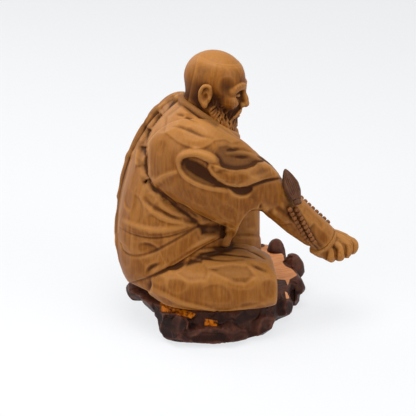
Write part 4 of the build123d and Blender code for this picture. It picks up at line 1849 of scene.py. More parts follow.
        # Painted shade on the border's outer strip, then a thin painted highlight inside it.
        borders = [
            Tint(np.vstack([edge + (start, 0), (edge + (end, 0))[::-1]]), layer, amount, 0.8)
            for start, end, layer, amount in ((-5, 2.2, Layer.PAINTED_SHADE, 0.4), (2.4, 4.6, Layer.EDGE_WEAR_AND_HIGHLIGHT, 0.6))
        ]
        return [Tint(cell, Layer.PAINTED_SHADE, 0.36, 2) for cell in cells] + borders

    def saw(self) -> dict[str, Item]:
        """Cut the carving into its blocks.

        Returns:
            The pieces by node name.
        """
        skin = self.block.skin()
        skin.relax(1, 0.4)
        whole = skin.object("robe_whole")
        far = 400.0
        lap_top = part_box("lap_block")[1].z / MM
        knee_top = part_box("left_leg")[1].z / MM
        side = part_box("trunk_front")[1].y / MM
        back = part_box("trunk_back")[1].x / MM
        leg_x, leg_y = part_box("left_leg")[0].x / MM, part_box("left_leg")[0].y / MM
        over = [(leg_x, lap_top), (leg_x, knee_top), (far, knee_top), (far, far)]
        front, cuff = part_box("lap_block")[1].x / MM + 4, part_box("right_forearm")[0].x / MM
        around_leg = [(front, -far), (front, leg_y), (leg_x, leg_y), (leg_x, far), (-far, far), (-far, -far)]
        past_lap = [(front, lap_top), (front, -far), (far, -far)]
        regions = {
            "lap_block": (around_leg, 2, -far, lap_top),
            "left_leg": ([(leg_x, leg_y), (far, leg_y), (far, far), (leg_x, far)], 2, -far, knee_top),
            "trunk_front": ([(back, lap_top), *over, (back, far)], 1, -side, side),
            "trunk_back": ([(-far, lap_top), (back, lap_top), (back, far), (-far, far)], 1, -side, side),
            "right_sleeve": ([(-far, lap_top), (cuff, lap_top), (cuff, far), (-far, far)], 1, -far, -side),
            "right_forearm": ([(cuff, lap_top), *past_lap, (far, far), (cuff, far)], 1, -far, -side),
            "left_sleeve": ([(-far, lap_top), *over, (-far, far)], 1, side, far),
        }
        pieces = {}
        for name, region in regions.items():
            tool = prism("saw_" + name, *region)
            pieces[name] = sawn(whole, tool, "carved_" + name)
            discard(tool)
        discard(whole)
        return pieces

    def build(self, finish: Material, crevices: Crevices) -> None:
        """Make and dress the robe's pieces.

        Args:
            finish: The wood.
            crevices: How hollows are read.
        """
        self.carve()
        pieces = self.saw()
        crevices.paint(self.block, pieces.values())
        for name, piece in pieces.items():
            tint(piece, self.tints())
            settle(piece, Body.FIGURE, Slot.CARVED, finish, name)


def mirrored(path: Path, side: float) -> list[Triple]:
    """A path of the figure's left side, or its mirror image where side is -1."""
    return [(x, side * y, z) for x, y, z in path]


@dataclass
class Head:
    """The bald, bearded head, carved in its own frame: x along the gaze, z out of the crown, millimetres."""

    pitch: float = 0.6
    middle: Triple = (-20, 0, 242.5)
    turn: float = -14.0
    nod: float = 12.0
    cranium: tuple[Triple, Triple] = ((-2, 0, 5), (29.5, 25.6, 26.5))
    face: tuple[Triple, Triple] = ((8.5, 0, -12), (19, 20, 26))
    jaw_radius: float = 7.0
    eye_line: float = -3.5
    eye_apart: float = 9.4
    nose_tip: Triple = (33.6, 0, -13.6)
    mouth_height: float = -25.0
    chin: Triple = (22.5, 0, -37.5)
    ear: Triple = (-5, 25, -7)
    neck: Path = ((-27, 0, 238), (-33, 0, 221), (-39, 0, 202))
    neck_radius: float = 19.0
    beard_step: float = 8.0
    seed: int = 11
    block: Block = field(init=False)

    def rotation(self) -> Array:
        """The head's axes as columns.

        Returns:
            A turn matrix.
        """
        a, b = math.radians(self.nod), math.radians(self.turn)
        nod = np.array(((math.cos(a), 0, math.sin(a)), (0, 1, 0), (-math.sin(a), 0, math.cos(a))))
        turn = np.array(((math.cos(b), -math.sin(b), 0), (math.sin(b), math.cos(b), 0), (0, 0, 1)))
        return nod @ turn

    def local(self, points: Path) -> Array:
        """Points of the object in the head's frame."""
        return (np.asarray(points, float) - self.middle) @ self.rotation()

    def __post_init__(self) -> None:
        """Start a block in the head's own frame."""
        self.block = Block((-42, -36, -62), (44, 36, 38), self.pitch)

    def carve(self) -> None:
        """Carve the head."""
        block = self.block
        block.add(Ball(*self.cranium))
        block.add(Ball(*self.face), 8)
        block.add(Stroke(self.local(self.neck), (self.neck_radius,)), 7)
        for side in (-1, 1):
            self._bones(side)
        for side in (-1, 1):
            self._eye(side)
        self._nose()
        self._mouth()
        self._beard()
        for side in (-1, 1):
            self._moustache(side)
            self._ear(side)

    def _bones(self, side: float) -> None:
        """Jaw, cheekbone, temple and brow of one side.

        Args:
            side: 1 for the left side, -1 for the right.
        """
        block = self.block
        r = self.jaw_radius
        chin_x, _, chin_z = self.chin
        jaw = ((0, 17, -20), (8, 15.5, -30), (17, 10, -36), (chin_x - 3, 2, chin_z))
        block.add(Stroke(mirrored(jaw, side), (r * 0.8, r, r, r)), 6)
        block.add(Ball((16.5, side * 14.5, -10), (8.5, 6, 5.5)), 6)
        block.cut(Ball((17, side * 28, 6), (9, 6, 8)), 7)
        brow = ((17.5, 17, 0.5), (23, 11.5, 3.8), (26, 6, 3.6), (27, 2.5, 2.2))
        block.add(Stroke(mirrored(brow, side), (2.2, 2.9, 3, 2.4)), 4)

    def _eye(self, side: float) -> None:
        """A lowered, calm eye in its socket.

        Args:
            side: 1 for the left side, -1 for the right.
        """
        block = self.block
        y, z = side * self.eye_apart, self.eye_line
        block.cut(Ball((28, y, z - 0.6), (5.6, 6.8, 4.4)), 4.5)
        block.add(Ball((19.8, y, z - 0.4), (5.6, 6.2, 4.8)), 0.8)
        lid = ((21.6, 5.4, z - 1.6), (24.6, 2.2, z - 2.2), (25.2, -1.2, z - 2.2), (24, -4.4, z - 1.2))
        lid = np.array(mirrored(lid, side)) + (0, y, 0)
        block.crease(lid, 1.3, (-0.5, -1.5, -1.5, -0.5))
        block.carve(lid + (0.2, 0, 1.5), 1.8, (0.3, 0.9, 0.9, 0.3))
        block.crease(lid + (-0.2, 0, 4.2), 1.6, (-0.3, -1, -1, -0.3))
        block.carve(lid + (-0.4, 0, -2.6), 2.2, (0.2, 0.7, 0.7, 0.2))
        hairs = mirrored(((19.5, 16.5, 3.6), (24, 11.5, 6.6), (27.2, 5.5, 5.6)), side)
        block.carve(hairs, (2.6, 3, 2.6), (0.5, 1.3, 0.9))
        for k in range(5):
            start = np.array((21.0 + 1.35 * k, side * (15.0 - 2.3 * k), 3.6 + 0.5 * k))
            hair = (start, start + (0.2, side * 1.2, 1.6), start + (0.3, side * 2.6, 2.8))
            block.crease(hair, 0.9, (-0.6, -0.9, -0.3))

    def _nose(self) -> None:
        """Bridge, tip, wings and nostrils."""
        block = self.block
        x, _, z = self.nose_tip
        bridge = ((25.5, 0, 2.5), (28.6, 0, -3.5), (31.4, 0, -8.5), (x - 1.2, 0, z + 1.2))
        block.add(Stroke(bridge, (2.5, 2.4, 2.9, 3.2)), 3)
        block.add(Ball((x - 1, 0, z), (3.6, 3.9, 3.3)), 1.6)
        for side in (-1, 1):
            block.add(Ball((x - 4.6, side * 3.9, z - 1.3), (3.4, 2.3, 2.6)), 1.4)
            block.cut(Ball((x - 2.6, side * 2.1, z - 3.5), (1.7, 1, 1)), 0.5)
            fold = mirrored(((x - 5.6, 6, z), (26.2, 9, -18.5), (23.6, 11.6, -24.5)), side)
            block.crease(fold, 2.6, (-0.6, -1.6, -0.7))

    def _mouth(self) -> None:
        """Closed, level lips."""
        block = self.block
        z = self.mouth_height
        block.add(Ball((20.5, 0, z), (8.5, 9.5, 8)), 4)
        upper = (
            (25, -6.5, z + 0.6), (28.6, -2.4, z + 1.8), (28.8, 0, z + 1.5), (28.6, 2.4, z + 1.8),
            (25, 6.5, z + 0.6),
        )
        block.add(Stroke(upper, (0.9, 1.5, 1.4, 1.5, 0.9)), 0.8)
        lower = ((25, -6, z - 0.8), (28.2, 0, z - 1.9), (25, 6, z - 0.8))
        block.add(Stroke(lower, (0.9, 1.9, 0.9)), 0.8)
        block.crease(((24.4, -7.5, z), (28.8, 0, z), (24.4, 7.5, z)), 1.3, (-0.8, -1.6, -0.8))

    def _hang(self, points: Path, width: float, rise: float) -> None:
        """Carve a lock of hair with a dark line beside it.

        Args:
            points: The lock's line.
            width: Half its width.
            rise: Its height.
        """
        block = self.block
        block.carve(points, np.array((0.8, 1, 1, 0.5)) * width, np.array((0.5, 1, 1, 0.3)) * rise)
        beside = np.asarray(points, float) + (0, width * 0.75, 0)
        block.crease(beside, width * 0.6, np.array((-0.5, -1, -1, -0.3)) * rise)

    def _beard(self) -> None:
        """A full beard in wavy locks, from the sideburns round to the chin."""
        block = self.block
        rng = np.random.default_rng(self.seed)
        block.add(Ball((13, 0, -36), (14.5, 16.5, 13)), 4)
        block.add(Ball((16, 0, -46), (11.5, 12, 12.5)), 4)
        tops = ((-105, -6), (-80, -14), (-55, -21.5), (-28, -27.5), (0, -31))
        angles = np.arange(-105, 106, self.beard_step)
        for row in range(6):
            for angle in angles + (row % 2) * self.beard_step * 0.5:
                top = float(np.interp(-abs(angle), *zip(*tops))) - 6.2 * row
                low = -58.0 + 0.34 * abs(angle)
                if top < low + 4.0:
                    continue
                sway, phase = rng.uniform(2.5, 5.5), rng.uniform(0, 2 * math.pi)
                points = []
                for k in range(5):
                    bend = math.radians(angle + sway * math.sin(phase + 1.4 * k))
                    reach = 21.0 - 0.10 * max(-30.0 - top, 0)
                    across = reach * math.sin(bend) * 0.95
                    points.append((7.0 + reach * math.cos(bend), across, top - 2.9 * k))
                self._hang(points, rng.uniform(1.7, 2.3), rng.uniform(0.8, 1.3))

    def _moustache(self, side: float) -> None:
        """Locks from under the nose, over the lip's corner and into the beard.

        Args:
            side: 1 for the left side, -1 for the right.
        """
        block = self.block
        z = self.mouth_height
        lock = ((29, 1, z + 4.6), (27.8, 5, z + 3.4), (24.4, 9.4, z - 0.8), (20.6, 12.4, z - 7))
        block.roll(mirrored(lock, side), (1.6, 2.3, 2.2, 1.2), (0.3, 0.4, 0.3, 0), 1.2)
        for k in range(4):
            start = (29.6 - 0.5 * k, 1.0 + 1.6 * k, z + 5.6 - 0.2 * k)
            middle = (27.2 - 0.5 * k, 5.6 + 1.2 * k, z + 2.6)
            stop = (22.2 - 0.4 * k, 10.2 + 1.1 * k, z - 4.6)
            block.crease(mirrored((start, middle, stop), side), 1, (-0.4, -1.1, -0.5))

    def _ear(self, side: float) -> None:
        """Rim, bowl and lobe.

        Args:
            side: 1 for the left side, -1 for the right.
        """
        block = self.block
        x, y, z = self.ear
        rim = (
            (x + 3.4, y + 1, z + 3.5), (x + 1.4, y + 2.2, z + 9.4), (x - 3.8, y + 3.2, z + 9.6),
            (x - 6.4, y + 3.2, z + 3.5), (x - 5.2, y + 2.4, z - 4), (x - 1.8, y + 1.4, z - 9),
        )
        y *= side
        block.add(Ball((x - 0.5, y, z), (5.6, 2.4, 10)), 1.5)
        block.add(Stroke(mirrored(rim, side), (1.2, 1.7, 1.8, 1.7, 1.5, 1.5)), 0.5)
        block.add(Ball((x + 0.2, y + side, z - 9.4), (2.8, 1.9, 3.2)), 1)
        block.cut(Ball((x - 0.6, y + side * 3, z - 1.4), (2.8, 2.4, 4.8)), 0.6)
        block.cut(Ball((x - 2.2, y + side * 3.2, z + 5.2), (2, 1.8, 2.6)), 0.6)
        block.add(Ball((x + 3.2, y + side * 0.8, z - 2), (1.5, 1.6, 2.4)), 0.6)

    def build(self, finish: Material, crevices: Crevices) -> None:
        """Make and dress the head.

        Args:
            finish: The wood.
            crevices: How hollows are read.
        """
        self.carve()
        skin = self.block.skin()
        skin.relax(1, 0.3)
        local = skin.points.copy()
        skin.points = skin.points @ self.rotation().T + np.asarray(self.middle)
        piece = skin.object("carved_head")
        crevices.paint(self.block, [piece], local)
        settle(piece, Body.FIGURE, Slot.CARVED, finish, "head")


@dataclass
class RightFist:
    """The clenched right hand."""

    pitch: float = 0.6
    # Places on the reference view and depth; a finger goes from its root over the knuckle into the palm.
    roots: Path = ((317, 241, 25), (321, 237.5, 24), (325, 234.6, 20), (329, 233.4, 14))
    knuckles: Path = ((329.2, 248.3, 24), (338.2, 245.3, 22), (346, 243, 17.5), (351.4, 242.2, 11))
    ends: Path = ((331, 257.6, 21), (339.7, 256.2, 19.5), (347, 253.2, 15), (352, 249.6, 9))
    tucks: Path = ((326, 254, 10), (334, 252, 8), (341, 249, 4), (346, 246.5, 0))
    finger_radii: tuple[float, ...] = (6.4, 4.9, 4.7, 4.4)
    palm: Path = ((322, 238.5, 18), (331, 244, 15.5), (339, 247.5, 12.5))
    heel: Path = ((317.5, 245, 21), (325, 251.5, 18), (331, 255, 16))
    # Area of the view where a painted highlight lightens the top of the fist.
    pale: Path = ((305, 232), (330, 222), (360, 234), (356, 244), (326, 250))
    thumb: Path = ((331, 234.5, 8), (343, 239, 2), (348, 246, -1), (343, 251, 1))

    def build(self, finish: Material, crevices: Crevices) -> None:
        """Make and dress the fist, with four fingers folded down and the thumb behind.

        Args:
            finish: The wood.
            crevices: How hollows are read.
        """
        block = Block.around(["right_fist"], 8, self.pitch)
        past = block.along(ARM.axes()[2]) - float(np.dot(ARM.wrist, ARM.axes()[2]))
        block.values = block.node_field(["right_fist", "hand_dowels"])
        block.keep(block.node_field(["right_fist"]) + np.clip(past, 0, 10) * 0.9)
        block.values = np.maximum(block.values, -past).astype(np.float32)
        block.add(Stroke(SIGHT.at(self.palm), (12, 10.5, 9)), 3)
        block.add(Stroke(SIGHT.at(self.heel), (10, 7.6, 5.6)), 3)
        block.add(Stroke(SIGHT.at(self.thumb), (5.4, 5, 4.6, 3.8)), 1.5)
        fingers = list(zip(self.roots, self.knuckles, self.ends, self.tucks))
        for finger in fingers:
            block.add(Stroke(SIGHT.at(finger), self.finger_radii), 1)
        for first, second in zip(fingers, fingers[1:]):
            between = np.add(first, second) / 2.0
            groove = np.vstack([between[:2].mean(0), between[1], between[2]]) + (0, 0, 5)
            block.crease(SIGHT.at(groove), (2.4, 2.6, 2.4), (-0.2, -1.4, -2))
        block.keep(-past)
        skin = block.skin()
        skin.relax(1, 0.3)
        skin.facet(9, 4, 2.5, 0.35)
        piece = skin.object("carved_fist")
        crevices.paint(block, [piece])
        # Painted highlight on the fist's upper faces.
        tint(piece, [Tint(self.pale, Layer.EDGE_WEAR_AND_HIGHLIGHT, 0.6, 3)])
        settle(piece, Body.FIGURE, Slot.CARVED, finish, "right_fist")


@dataclass
class LeftHand:
    """The left hand, palm down on the raised knee."""

    pitch: float = 0.6
    finger_starts: tuple[float, ...] = (-9, -3.2, 2.8, 8.6)
    finger_lengths: tuple[float, ...] = (14, 17, 16, 13)
    finger_radius: float = 3.2

    def build(self, finish: Material, crevices: Crevices) -> None:
        """Make and dress the hand.

        Args:
            finish: The wood.
            crevices: How hollows are read.
        """
        low, high = (np.array(corner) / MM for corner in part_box("left_hand"))
        block = Block.around(["left_hand"], 4, self.pitch)
        shell = block.node_field(["left_hand", "hand_dowels"])
        shell = np.maximum(shell, block.node_field(["left_hand"]) - 4.2)
        block.values = shell + 1.4
        middle = 0.5 * (low[1] + high[1])
        radius = self.finger_radius
        for start, length in zip(self.finger_starts, self.finger_lengths):
            x, y, z = low[0] + 13, middle + start, low[2]
            path = (
                (x - 7, y + 2, z + 12.5), (x, y, z + 11.5), (x + length * 0.5, y - 1, z + 7.5),
                (x + length * 0.75, y - 2, z + 3.4),
            )
            block.add(Stroke(path, (radius, radius, radius, 2.6)), 0.6)
        block.keep(shell - 1.2)
        block.keep(low[2] - block.levels())
        skin = block.skin()
        skin.relax(1, 0.3)
        piece = skin.object("carved_left_hand")
        crevices.paint(block, [piece])
        settle(piece, Body.FIGURE, Slot.CARVED, finish, "left_hand")


# The rosary


class Recipe(Nodes):
    """A Geometry Nodes tree with named inputs."""

    def __init__(self, name: str, inputs: dict[str, str]) -> None:
        """Start a tree that takes a mesh and the named inputs.

        Args:
            name: The tree's name.
            inputs: Socket types by input name.
        """
        self.group = bpy.data.node_groups.new(name, "GeometryNodeTree")
        super().__init__(self.group)
        for key, kind in {"Mesh": "NodeSocketGeometry", **inputs}.items():
            self.group.interface.new_socket(key, in_out="INPUT", socket_type=kind)
        self.group.interface.new_socket("Mesh", in_out="OUTPUT", socket_type="NodeSocketGeometry")
        self._entry = self.tree.nodes.new("NodeGroupInput")

    def given(self, name: str) -> Value:
        """One of the tree's inputs."""
        return Value(self, self._entry.outputs[name])

    def close(self, made: Value) -> None:
        """Realise the instances, set the finish and end the tree.

        Args:
            made: The geometry.
        """
        real = self.node("GeometryNodeRealizeInstances", {}, {"Geometry": made})
        inputs = {"Geometry": real, "Material": self.given("Finish")}
        self.node("NodeGroupOutput", {}, {"Mesh": self.node("GeometryNodeSetMaterial", {}, inputs)})

    def apply(self, seed: Item, name: str, values: dict[str, object]) -> Item:
        """Run the tree on an object.

        Args:
            seed: Object whose mesh goes in; it is discarded.
            name: The new piece's name.
            values: Values by input name.

        Returns:
            The piece.
        """
        modifier = seed.modifiers.new(name, "NODES")
        modifier.node_group = self.group
        for item in self.group.interface.items_tree:
            if item.in_out == "INPUT" and item.name in values:
                modifier[item.identifier] = values[item.name]
        piece = link(name, evaluated(seed, name))
        discard(seed)
        return piece


@dataclass
class Rosary:
    """Beads in rows along the forearm and the tassel over it."""

    rows: tuple[str, ...] = ("bead_row_upper", "bead_row_lower", "bead_row_far")
    squareness: float = 0.18
    root: Triple = (-21.8, 12.6, 21)
    tip: Triple = (-1.35, 25.9, 1.3)
    swell: tuple[Pair, ...] = ((0, 0.5), (0.3, 0.95), (0.55, 1), (0.8, 0.6), (1, 0.12))
    half_width: float = 8.3
    half_thickness: float = 3.0
    strands: int = 8
    strand_radius: float = 1.0
    bud_radius: float = 1.7

    @staticmethod
    def beads(name: str) -> tuple[Array, float]:
        """Find a CAD row's beads.

        Args:
            name: The row's node.

        Returns:
            Their middles, in order along the arm, and their radius.
        """
        points = points_of(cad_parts[name])
        place = (points - ARM.elbow) @ ARM.axes()[2]
        order = np.argsort(place)
        breaks = np.flatnonzero(np.diff(place[order]) > 0.1) + 1
        groups = np.split(points[order], breaks)
        middles = np.array([(group.min(0) + group.max(0)) / 2.0 for group in groups])
        return middles, float(np.ptp(groups[0], axis=0).max()) / 2.0

    def _bead_recipe(self) -> Recipe:
        """Rounded square beads on points, turned along their row.

        Returns:
            The tree.
        """
        sizes = dict.fromkeys(("Radius", "Crease"), "NodeSocketFloat")
        recipe = Recipe("bead_row", {**sizes, "Finish": "NodeSocketMaterial"})
        side = recipe.given("Radius") * 2.0
        size = recipe.node("ShaderNodeCombineXYZ", {}, {0: side * 0.94, 1: side, 2: side})
        cube = recipe.node("GeometryNodeMeshCube", {}, {"Size": size})
        inputs = {"Mesh": cube, "Level": 4, "Edge Crease": recipe.given("Crease")}
        bead = recipe.node("GeometryNodeSubdivisionSurface", {}, inputs)
        vector = {"data_type": "FLOAT_VECTOR"}
        heading = recipe.node("GeometryNodeInputNamedAttribute", vector, {"Name": "heading"})
        turn = recipe.node("FunctionNodeAlignRotationToVector", {"axis": "X"}, {"Vector": heading})
        inputs = {"Points": recipe.given("Mesh"), "Instance": bead, "Rotation": turn}
        row = recipe.node("GeometryNodeInstanceOnPoints", {}, inputs)
        recipe.close(recipe.node("GeometryNodeSetShadeSmooth", {}, {"Geometry": row}))
        return recipe

    def _strand_recipe(self) -> Recipe:
        """Round strands along polylines.

        Returns:
            The tree.
        """
        recipe = Recipe("strands", {"Radius": "NodeSocketFloat", "Finish": "NodeSocketMaterial"})
        lines = recipe.node("GeometryNodeMeshToCurve", {}, {"Mesh": recipe.given("Mesh")})
        inputs = {"Resolution": 8, "Radius": recipe.given("Radius")}
        ring = recipe.node("GeometryNodeCurvePrimitiveCircle", {}, inputs)
        inputs = {"Curve": lines, "Profile Curve": ring, "Fill Caps": True}
        tube = recipe.node("GeometryNodeCurveToMesh", {}, inputs)
        recipe.close(recipe.node("GeometryNodeSetShadeSmooth", {}, {"Geometry": tube}))
        return recipe

    def _beads(self, finish: Material) -> None:
        """Make and dress the three rows of beads.

        Args:
            finish: The beads' wood.
        """
        recipe = self._bead_recipe()
        for name in self.rows:
            centres, radius = self.beads(name)
            mesh = bpy.data.meshes.new(name + "_points")
            mesh.from_pydata((centres * MM).tolist(), [], [])
            heading = mesh.attributes.new("heading", "FLOAT_VECTOR", "POINT")
            heading.data.foreach_set("vector", np.gradient(centres, axis=0).ravel())
            piece = recipe.apply(
                link(name + "_points", mesh), "carved_" + name,
                {"Radius": radius * MM * 1.04, "Crease": self.squareness, "Finish": finish},
            )
            settle(piece, Body.FIGURE, Slot.DARK, finish, name)

    def _tassel(self, finish: Material, crevices: Crevices) -> None:
        """Make and dress the tassel's leaf-shaped core and the strands over it.

        Args:
            finish: The tassel's wood.
            crevices: How hollows are read.
        """
        root, tip = ARM.points([self.root])[0], ARM.points([self.tip])[0]
        span = tip - root
        out = ARM.points([(self.root[0], self.root[1], 0)])[0] - np.asarray(ARM.elbow)
        out = out - span * float(out @ span) / float(span @ span)
        out /= np.linalg.norm(out)
        across = np.cross(span / np.linalg.norm(span), out)
        block = Block.around(["tassel"], 5, 0.55)
        block.values = block.node_field(["tassel"]) + 0.5
        block.add(Ball(tip - span * 0.02, (self.bud_radius,) * 3), 0.8)
        core = block.skin().object("carved_tassel")
        crevices.paint(block, [core])
        settle(core, Body.FIGURE, Slot.DARK, finish, "tassel")
        shares = np.linspace(0.02, 0.97, 16)
        wide = np.interp(shares, *zip(*self.swell))
        points, edges, radii = [], [], []
        for face in (1, -1):
            for place in np.linspace(-0.94, 0.94, self.strands):
                lift = math.sqrt(1.0 - place * place)
                line = (
                    root + span * shares[:, None] + across * (place * self.half_width * wide)[:, None]
                    + out * (face * lift * self.half_thickness * wide)[:, None]
                )
                start = len(points)
                points.extend((line * MM).tolist())
                edges.extend((start + k, start + k + 1) for k in range(len(shares) - 1))
                radii.extend((0.55 + 0.6 * wide).tolist())
        mesh = bpy.data.meshes.new("tassel_lines")
        mesh.from_pydata(points, edges, [])
        mesh.attributes.new("radius", "FLOAT", "POINT").data.foreach_set("value", radii)
        values = {"Radius": self.strand_radius * MM, "Finish": finish}
        strands = self._strand_recipe().apply(link("tassel_lines", mesh), "tassel_strands", values)
        settle(strands, Body.FIGURE, Slot.DARK, finish)

    def build(self, beads: Material, tassel: Material, crevices: Crevices) -> None:
        """Make and dress the rosary.

        Args:
            beads: The beads' wood.
            tassel: The tassel's wood.
            crevices: How hollows are read.
        """
        self._beads(beads)
        self._tassel(tassel, crevices)


# The stand


@dataclass
class RockStand:
    """The rock-shaped stand, scooped and rough, with a flat bare top in front."""

    pitch: float = 0.9
    clearance: float = 0.35
    scoops: int = 15
    seed: int = 21
    # Size and height of the rough surface's bumps.
    bumps: tuple[Pair, ...] = ((19, 1.4), (7, 0.4), (2.6, 0.2))
    bare: Path = (
        (256, 236), (264, 240), (270, 246.5), (276, 252.5), (282.2, 250.3), (284.7, 261.5), (297.5, 274.9),
        (289.8, 279.4), (287.9, 285.8), (285.4, 280), (274.5, 278.8), (266, 274), (256, 261.5),
    )
    orange: tuple[Path, ...] = (
        ((160, 301), (177, 307), (196, 313.8), (191.6, 318.4), (175.7, 314), (160, 311)),
        ((205, 318.8), (217.5, 320.8), (216.8, 326.2), (204.4, 325.4)),
    )
    # Knobs of the view that take a painted highlight.
    knob_highlights: tuple[Path, ...] = (
        ((268, 236), (282, 236), (283, 253), (272, 252)), ((282, 250), (302, 250), (303, 275), (290, 276)),
    )
    chip: Path = ((284.5, 290.9), (287.3, 292.1), (290.1, 298.5), (286, 299.2))
    scaly: Path = ((160, 312), (175, 314), (186, 316), (190, 322), (187, 329), (176, 327), (163, 322))
    below: Path = (
        (150, 328), (160, 334), (168, 338), (176, 340.4), (187, 342.4), (200, 343.4), (215, 343.4),
        (230, 342.4), (246, 339), (262, 334), (271, 328.5), (273.5, 321.5), (277, 317.5), (288, 313.5),
        (297, 306.5), (302, 299), (330, 299), (330, 380), (150, 380),
    )
    lumps: tuple[tuple[Triple, Triple], ...] = (
        ((53, 53, 33), (8, 8.5, 12.5)), ((64.5, 21, 29), (9.5, 12, 14)), ((62, -8, 16), (10, 13, 16)),
        ((44, -38, 13), (9, 12, 13)), ((38, 62, 22), (12, 10, 14)), ((-71, -70, 14), (16, 14, 15)),
        ((-30, -79, 9), (30, 11, 12)), ((16, -68, 9), (20, 11, 12)), ((-6, 66, 16), (24, 9, 15)),
        ((-56, 58, 18), (22, 11, 13)), ((-98, -4, 25), (13, 16, 8)),
    )

    def _shape(self) -> Block:
        """Rough out the stand.

        Returns:
            The block.
        """
        rng = np.random.default_rng(self.seed)
        block = Block.around(["rock_stand"], 5, self.pitch)
        levels = block.levels()
        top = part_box("lap_block")[0].z / MM
        shell = block.node_field(["rock_stand"])
        pegs = np.maximum(block.node_field(["seat_pegs"]) - 0.5, levels - top)
        block.values = np.maximum(np.minimum(shell + 0.6, pegs), levels - top)
        block.values = block.blurred(6)
        for middle, radii in self.lumps:
            block.add(Ball(middle, radii), 5)
        for k in range(self.scoops):
            angle = 2.0 * math.pi * (k + rng.uniform(-0.3, 0.3)) / self.scoops
            foot = np.array((math.cos(angle) * 84.0 - 16, math.sin(angle) * 76, 0))
            lean = (*rng.normal(0, 6, 2), 0)
            heights = (4, 15, rng.uniform(24, 34))
            path = [foot + np.multiply(lean, t) + (0, 0, z) for t, z in zip((0, 0.5, 1), heights)]
            width = rng.uniform(7, 12)
            block.carve(path, width, (-0.6, -width * rng.uniform(0.18, 0.32), -0.4))
        block.press(self.scaly, 2.4, 2)
        block.keep(shell - 4)
        block.trim(self.below, block.low, block.low + block.pitch * np.array(block.shape))
        block.keep(self.clearance - block.node_field(["lap_block", "left_leg"]))
        block.keep(0.05 - levels)
        return block

    def build(self, finish: Material, crevices: Crevices) -> None:
        """Make and dress the stand.

        Args:
            finish: The stained wood.
            crevices: How hollows are read.
        """
        block = self._shape()
        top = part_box("lap_block")[0].z / MM
        skin = block.skin()
        normals = skin.normals()
        flat = np.clip((normals[:, 2] - 0.7) / 0.2, 0, 1) * (np.abs(skin.points[:, 2] - top) < 2.5)
        rough = (1.0 - flat) * np.clip(skin.points[:, 2] / 2, 0, 1)
        rows = enumerate(self.bumps)
        bumps = sum(value_noise(skin.points, cell, seed) * rise for seed, (cell, rise) in rows)
        skin.points += normals * (bumps * rough)[:, None]
        skin.facet(12, 9, 5, 0.9, rough)
        skin.points[:, 2] = np.maximum(skin.points[:, 2], 0)
        piece = skin.object("carved_rock_stand")
        crevices.paint(block, [piece])
        # Bare top and chip, bare orange patches, and painted highlights on the knobs.
        tint(piece, [
            Tint(self.bare, Layer.BARE, 1, 1.2), Tint(self.chip, Layer.BARE, 0.9, 0.8),
            *(Tint(outline, Layer.ORANGE, 1, 1.4) for outline in self.orange),
            *(Tint(outline, Layer.EDGE_WEAR_AND_HIGHLIGHT, 0.45, 3) for outline in self.knob_highlights),
        ])
        chips = step(inside(self.chip, SIGHT.places(skin.points)), 1)
        mark_layer(piece, Layer.BARE, layer_of(piece, Layer.BARE) * np.clip(flat + chips, 0, 1))
        settle(piece, Body.STAND, Slot.STAINED, finish, "rock_stand")


# The stage


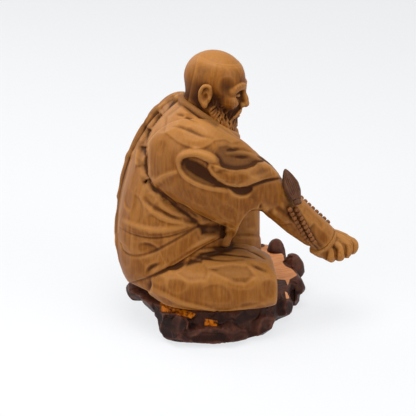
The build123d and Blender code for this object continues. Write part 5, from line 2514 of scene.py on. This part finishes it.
@dataclass
class Studio:
    """Floor, soft lights and the camera at the reference view."""

    lamps: tuple[tuple[str, Triple, float, float], ...] = (
        ("overhead", (-0.10, -0.20, 1.30), 0.8, 10.0),
        ("key", (-1.15, -0.55, 0.75), 0.8, 7.5),
        ("fill", (1.0, -0.9, 0.75), 0.8, 8.0),
        ("rim", (-0.8, 0.8, 0.8), 0.8, 4.0),
    )
    lit: Triple = (0.0, 0.0, 0.12)
    ambient: float = 0.28
    backdrop: Triple = (0.93, 0.94, 0.955)

    def build(self) -> None:
        """Set up the stage."""
        scene = bpy.context.scene
        scene.view_settings.view_transform = "Standard"
        self._camera(scene)
        self._floor()
        self._lights()
        self._world(scene)

    @staticmethod
    def _camera(scene: bpy.types.Scene) -> None:
        """Set up a camera that sees the reference view.

        Args:
            scene: The scene.
        """
        lens = bpy.data.cameras.new("camera")
        lens.sensor_fit = "HORIZONTAL"
        lens.angle = 2.0 * math.atan(SIGHT.width / 2.0 / SIGHT.distance)
        camera = bpy.data.objects.new("camera", lens)
        camera.location = Vector(SIGHT.eye() * MM)
        camera.rotation_euler = Vector(SIGHT.axes()[2]).to_track_quat("Z", "Y").to_euler()
        scene.collection.objects.link(camera)
        scene.camera = camera

    @staticmethod
    def _floor() -> None:
        """A wide pale floor."""
        shell = bmesh.new()
        bmesh.ops.create_grid(shell, x_segments=1, y_segments=1, size=6.0)
        mesh = bpy.data.meshes.new("floor")
        shell.to_mesh(mesh)
        shell.free()
        mesh.materials.append(PlainFloor().material())
        link("floor", mesh)

    def _lights(self) -> None:
        """Large soft lamps."""
        for name, place, size, power in self.lamps:
            light = bpy.data.lights.new(name, "AREA")
            light.energy = power
            light.size = size
            lamp = bpy.data.objects.new(name, light)
            lamp.location = place
            away = Vector(place) - Vector(self.lit)
            lamp.rotation_euler = away.to_track_quat("Z", "Y").to_euler()
            bpy.context.scene.collection.objects.link(lamp)

    def _world(self, scene: bpy.types.Scene) -> None:
        """Set up soft light all round, and a near-white backdrop for the camera.

        Args:
            scene: The scene.
        """
        scene.world = bpy.data.worlds.new("studio")
        scene.world.use_nodes = True
        nodes = Nodes(scene.world.node_tree)
        glow, white = (
            nodes.node("ShaderNodeBackground", {}, {"Color": (*colour, 1.0), "Strength": strength})
            for colour, strength in (((1.0, 1.0, 1.0), self.ambient), (self.backdrop, 1.0))
        )
        nodes.node("ShaderNodeOutputWorld", {}, {"Surface": nodes.blend(nodes.seen(), glow, white)})


def main() -> None:
    """Build every piece in order."""
    logging.basicConfig(level=logging.INFO, format="%(name)s %(message)s")
    crevices = Crevices()
    carved, rock = CarvedWood().material(), StainedRock().material()
    # Beads and tassel take less painted light on their upper faces.
    beads = CarvedWood(
        "bead_wood", (0.34, 0.15, 0.06), (0.25, 0.09, 0.022), (0.12, 0.036, 0.008), painted_top_light=0.4,
    ).material()
    dark = CarvedWood(
        "dark_wood", (0.16, 0.07, 0.035), (0.10, 0.036, 0.014), (0.045, 0.015, 0.006), painted_top_light=0.3,
    ).material()
    dowel = CarvedWood("dowel_wood", (0.55, 0.36, 0.18), (0.45, 0.27, 0.11), (0.34, 0.18, 0.07)).material()
    Robe().build(carved, crevices)
    Head().build(carved, crevices)
    RightFist().build(carved, crevices)
    LeftHand().build(carved, crevices)
    Rosary().build(beads, dark, crevices)
    RockStand().build(rock, crevices)
    for name, finish in {"tassel_binding": dark, **dict.fromkeys(DOWELS, dowel)}.items():
        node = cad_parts[name]
        node.data.materials.clear()
        node.data.materials.append(finish)
        LOG.info("%s: as in the frame", name)
    Studio().build()


if __name__ == "__main__":
    main()
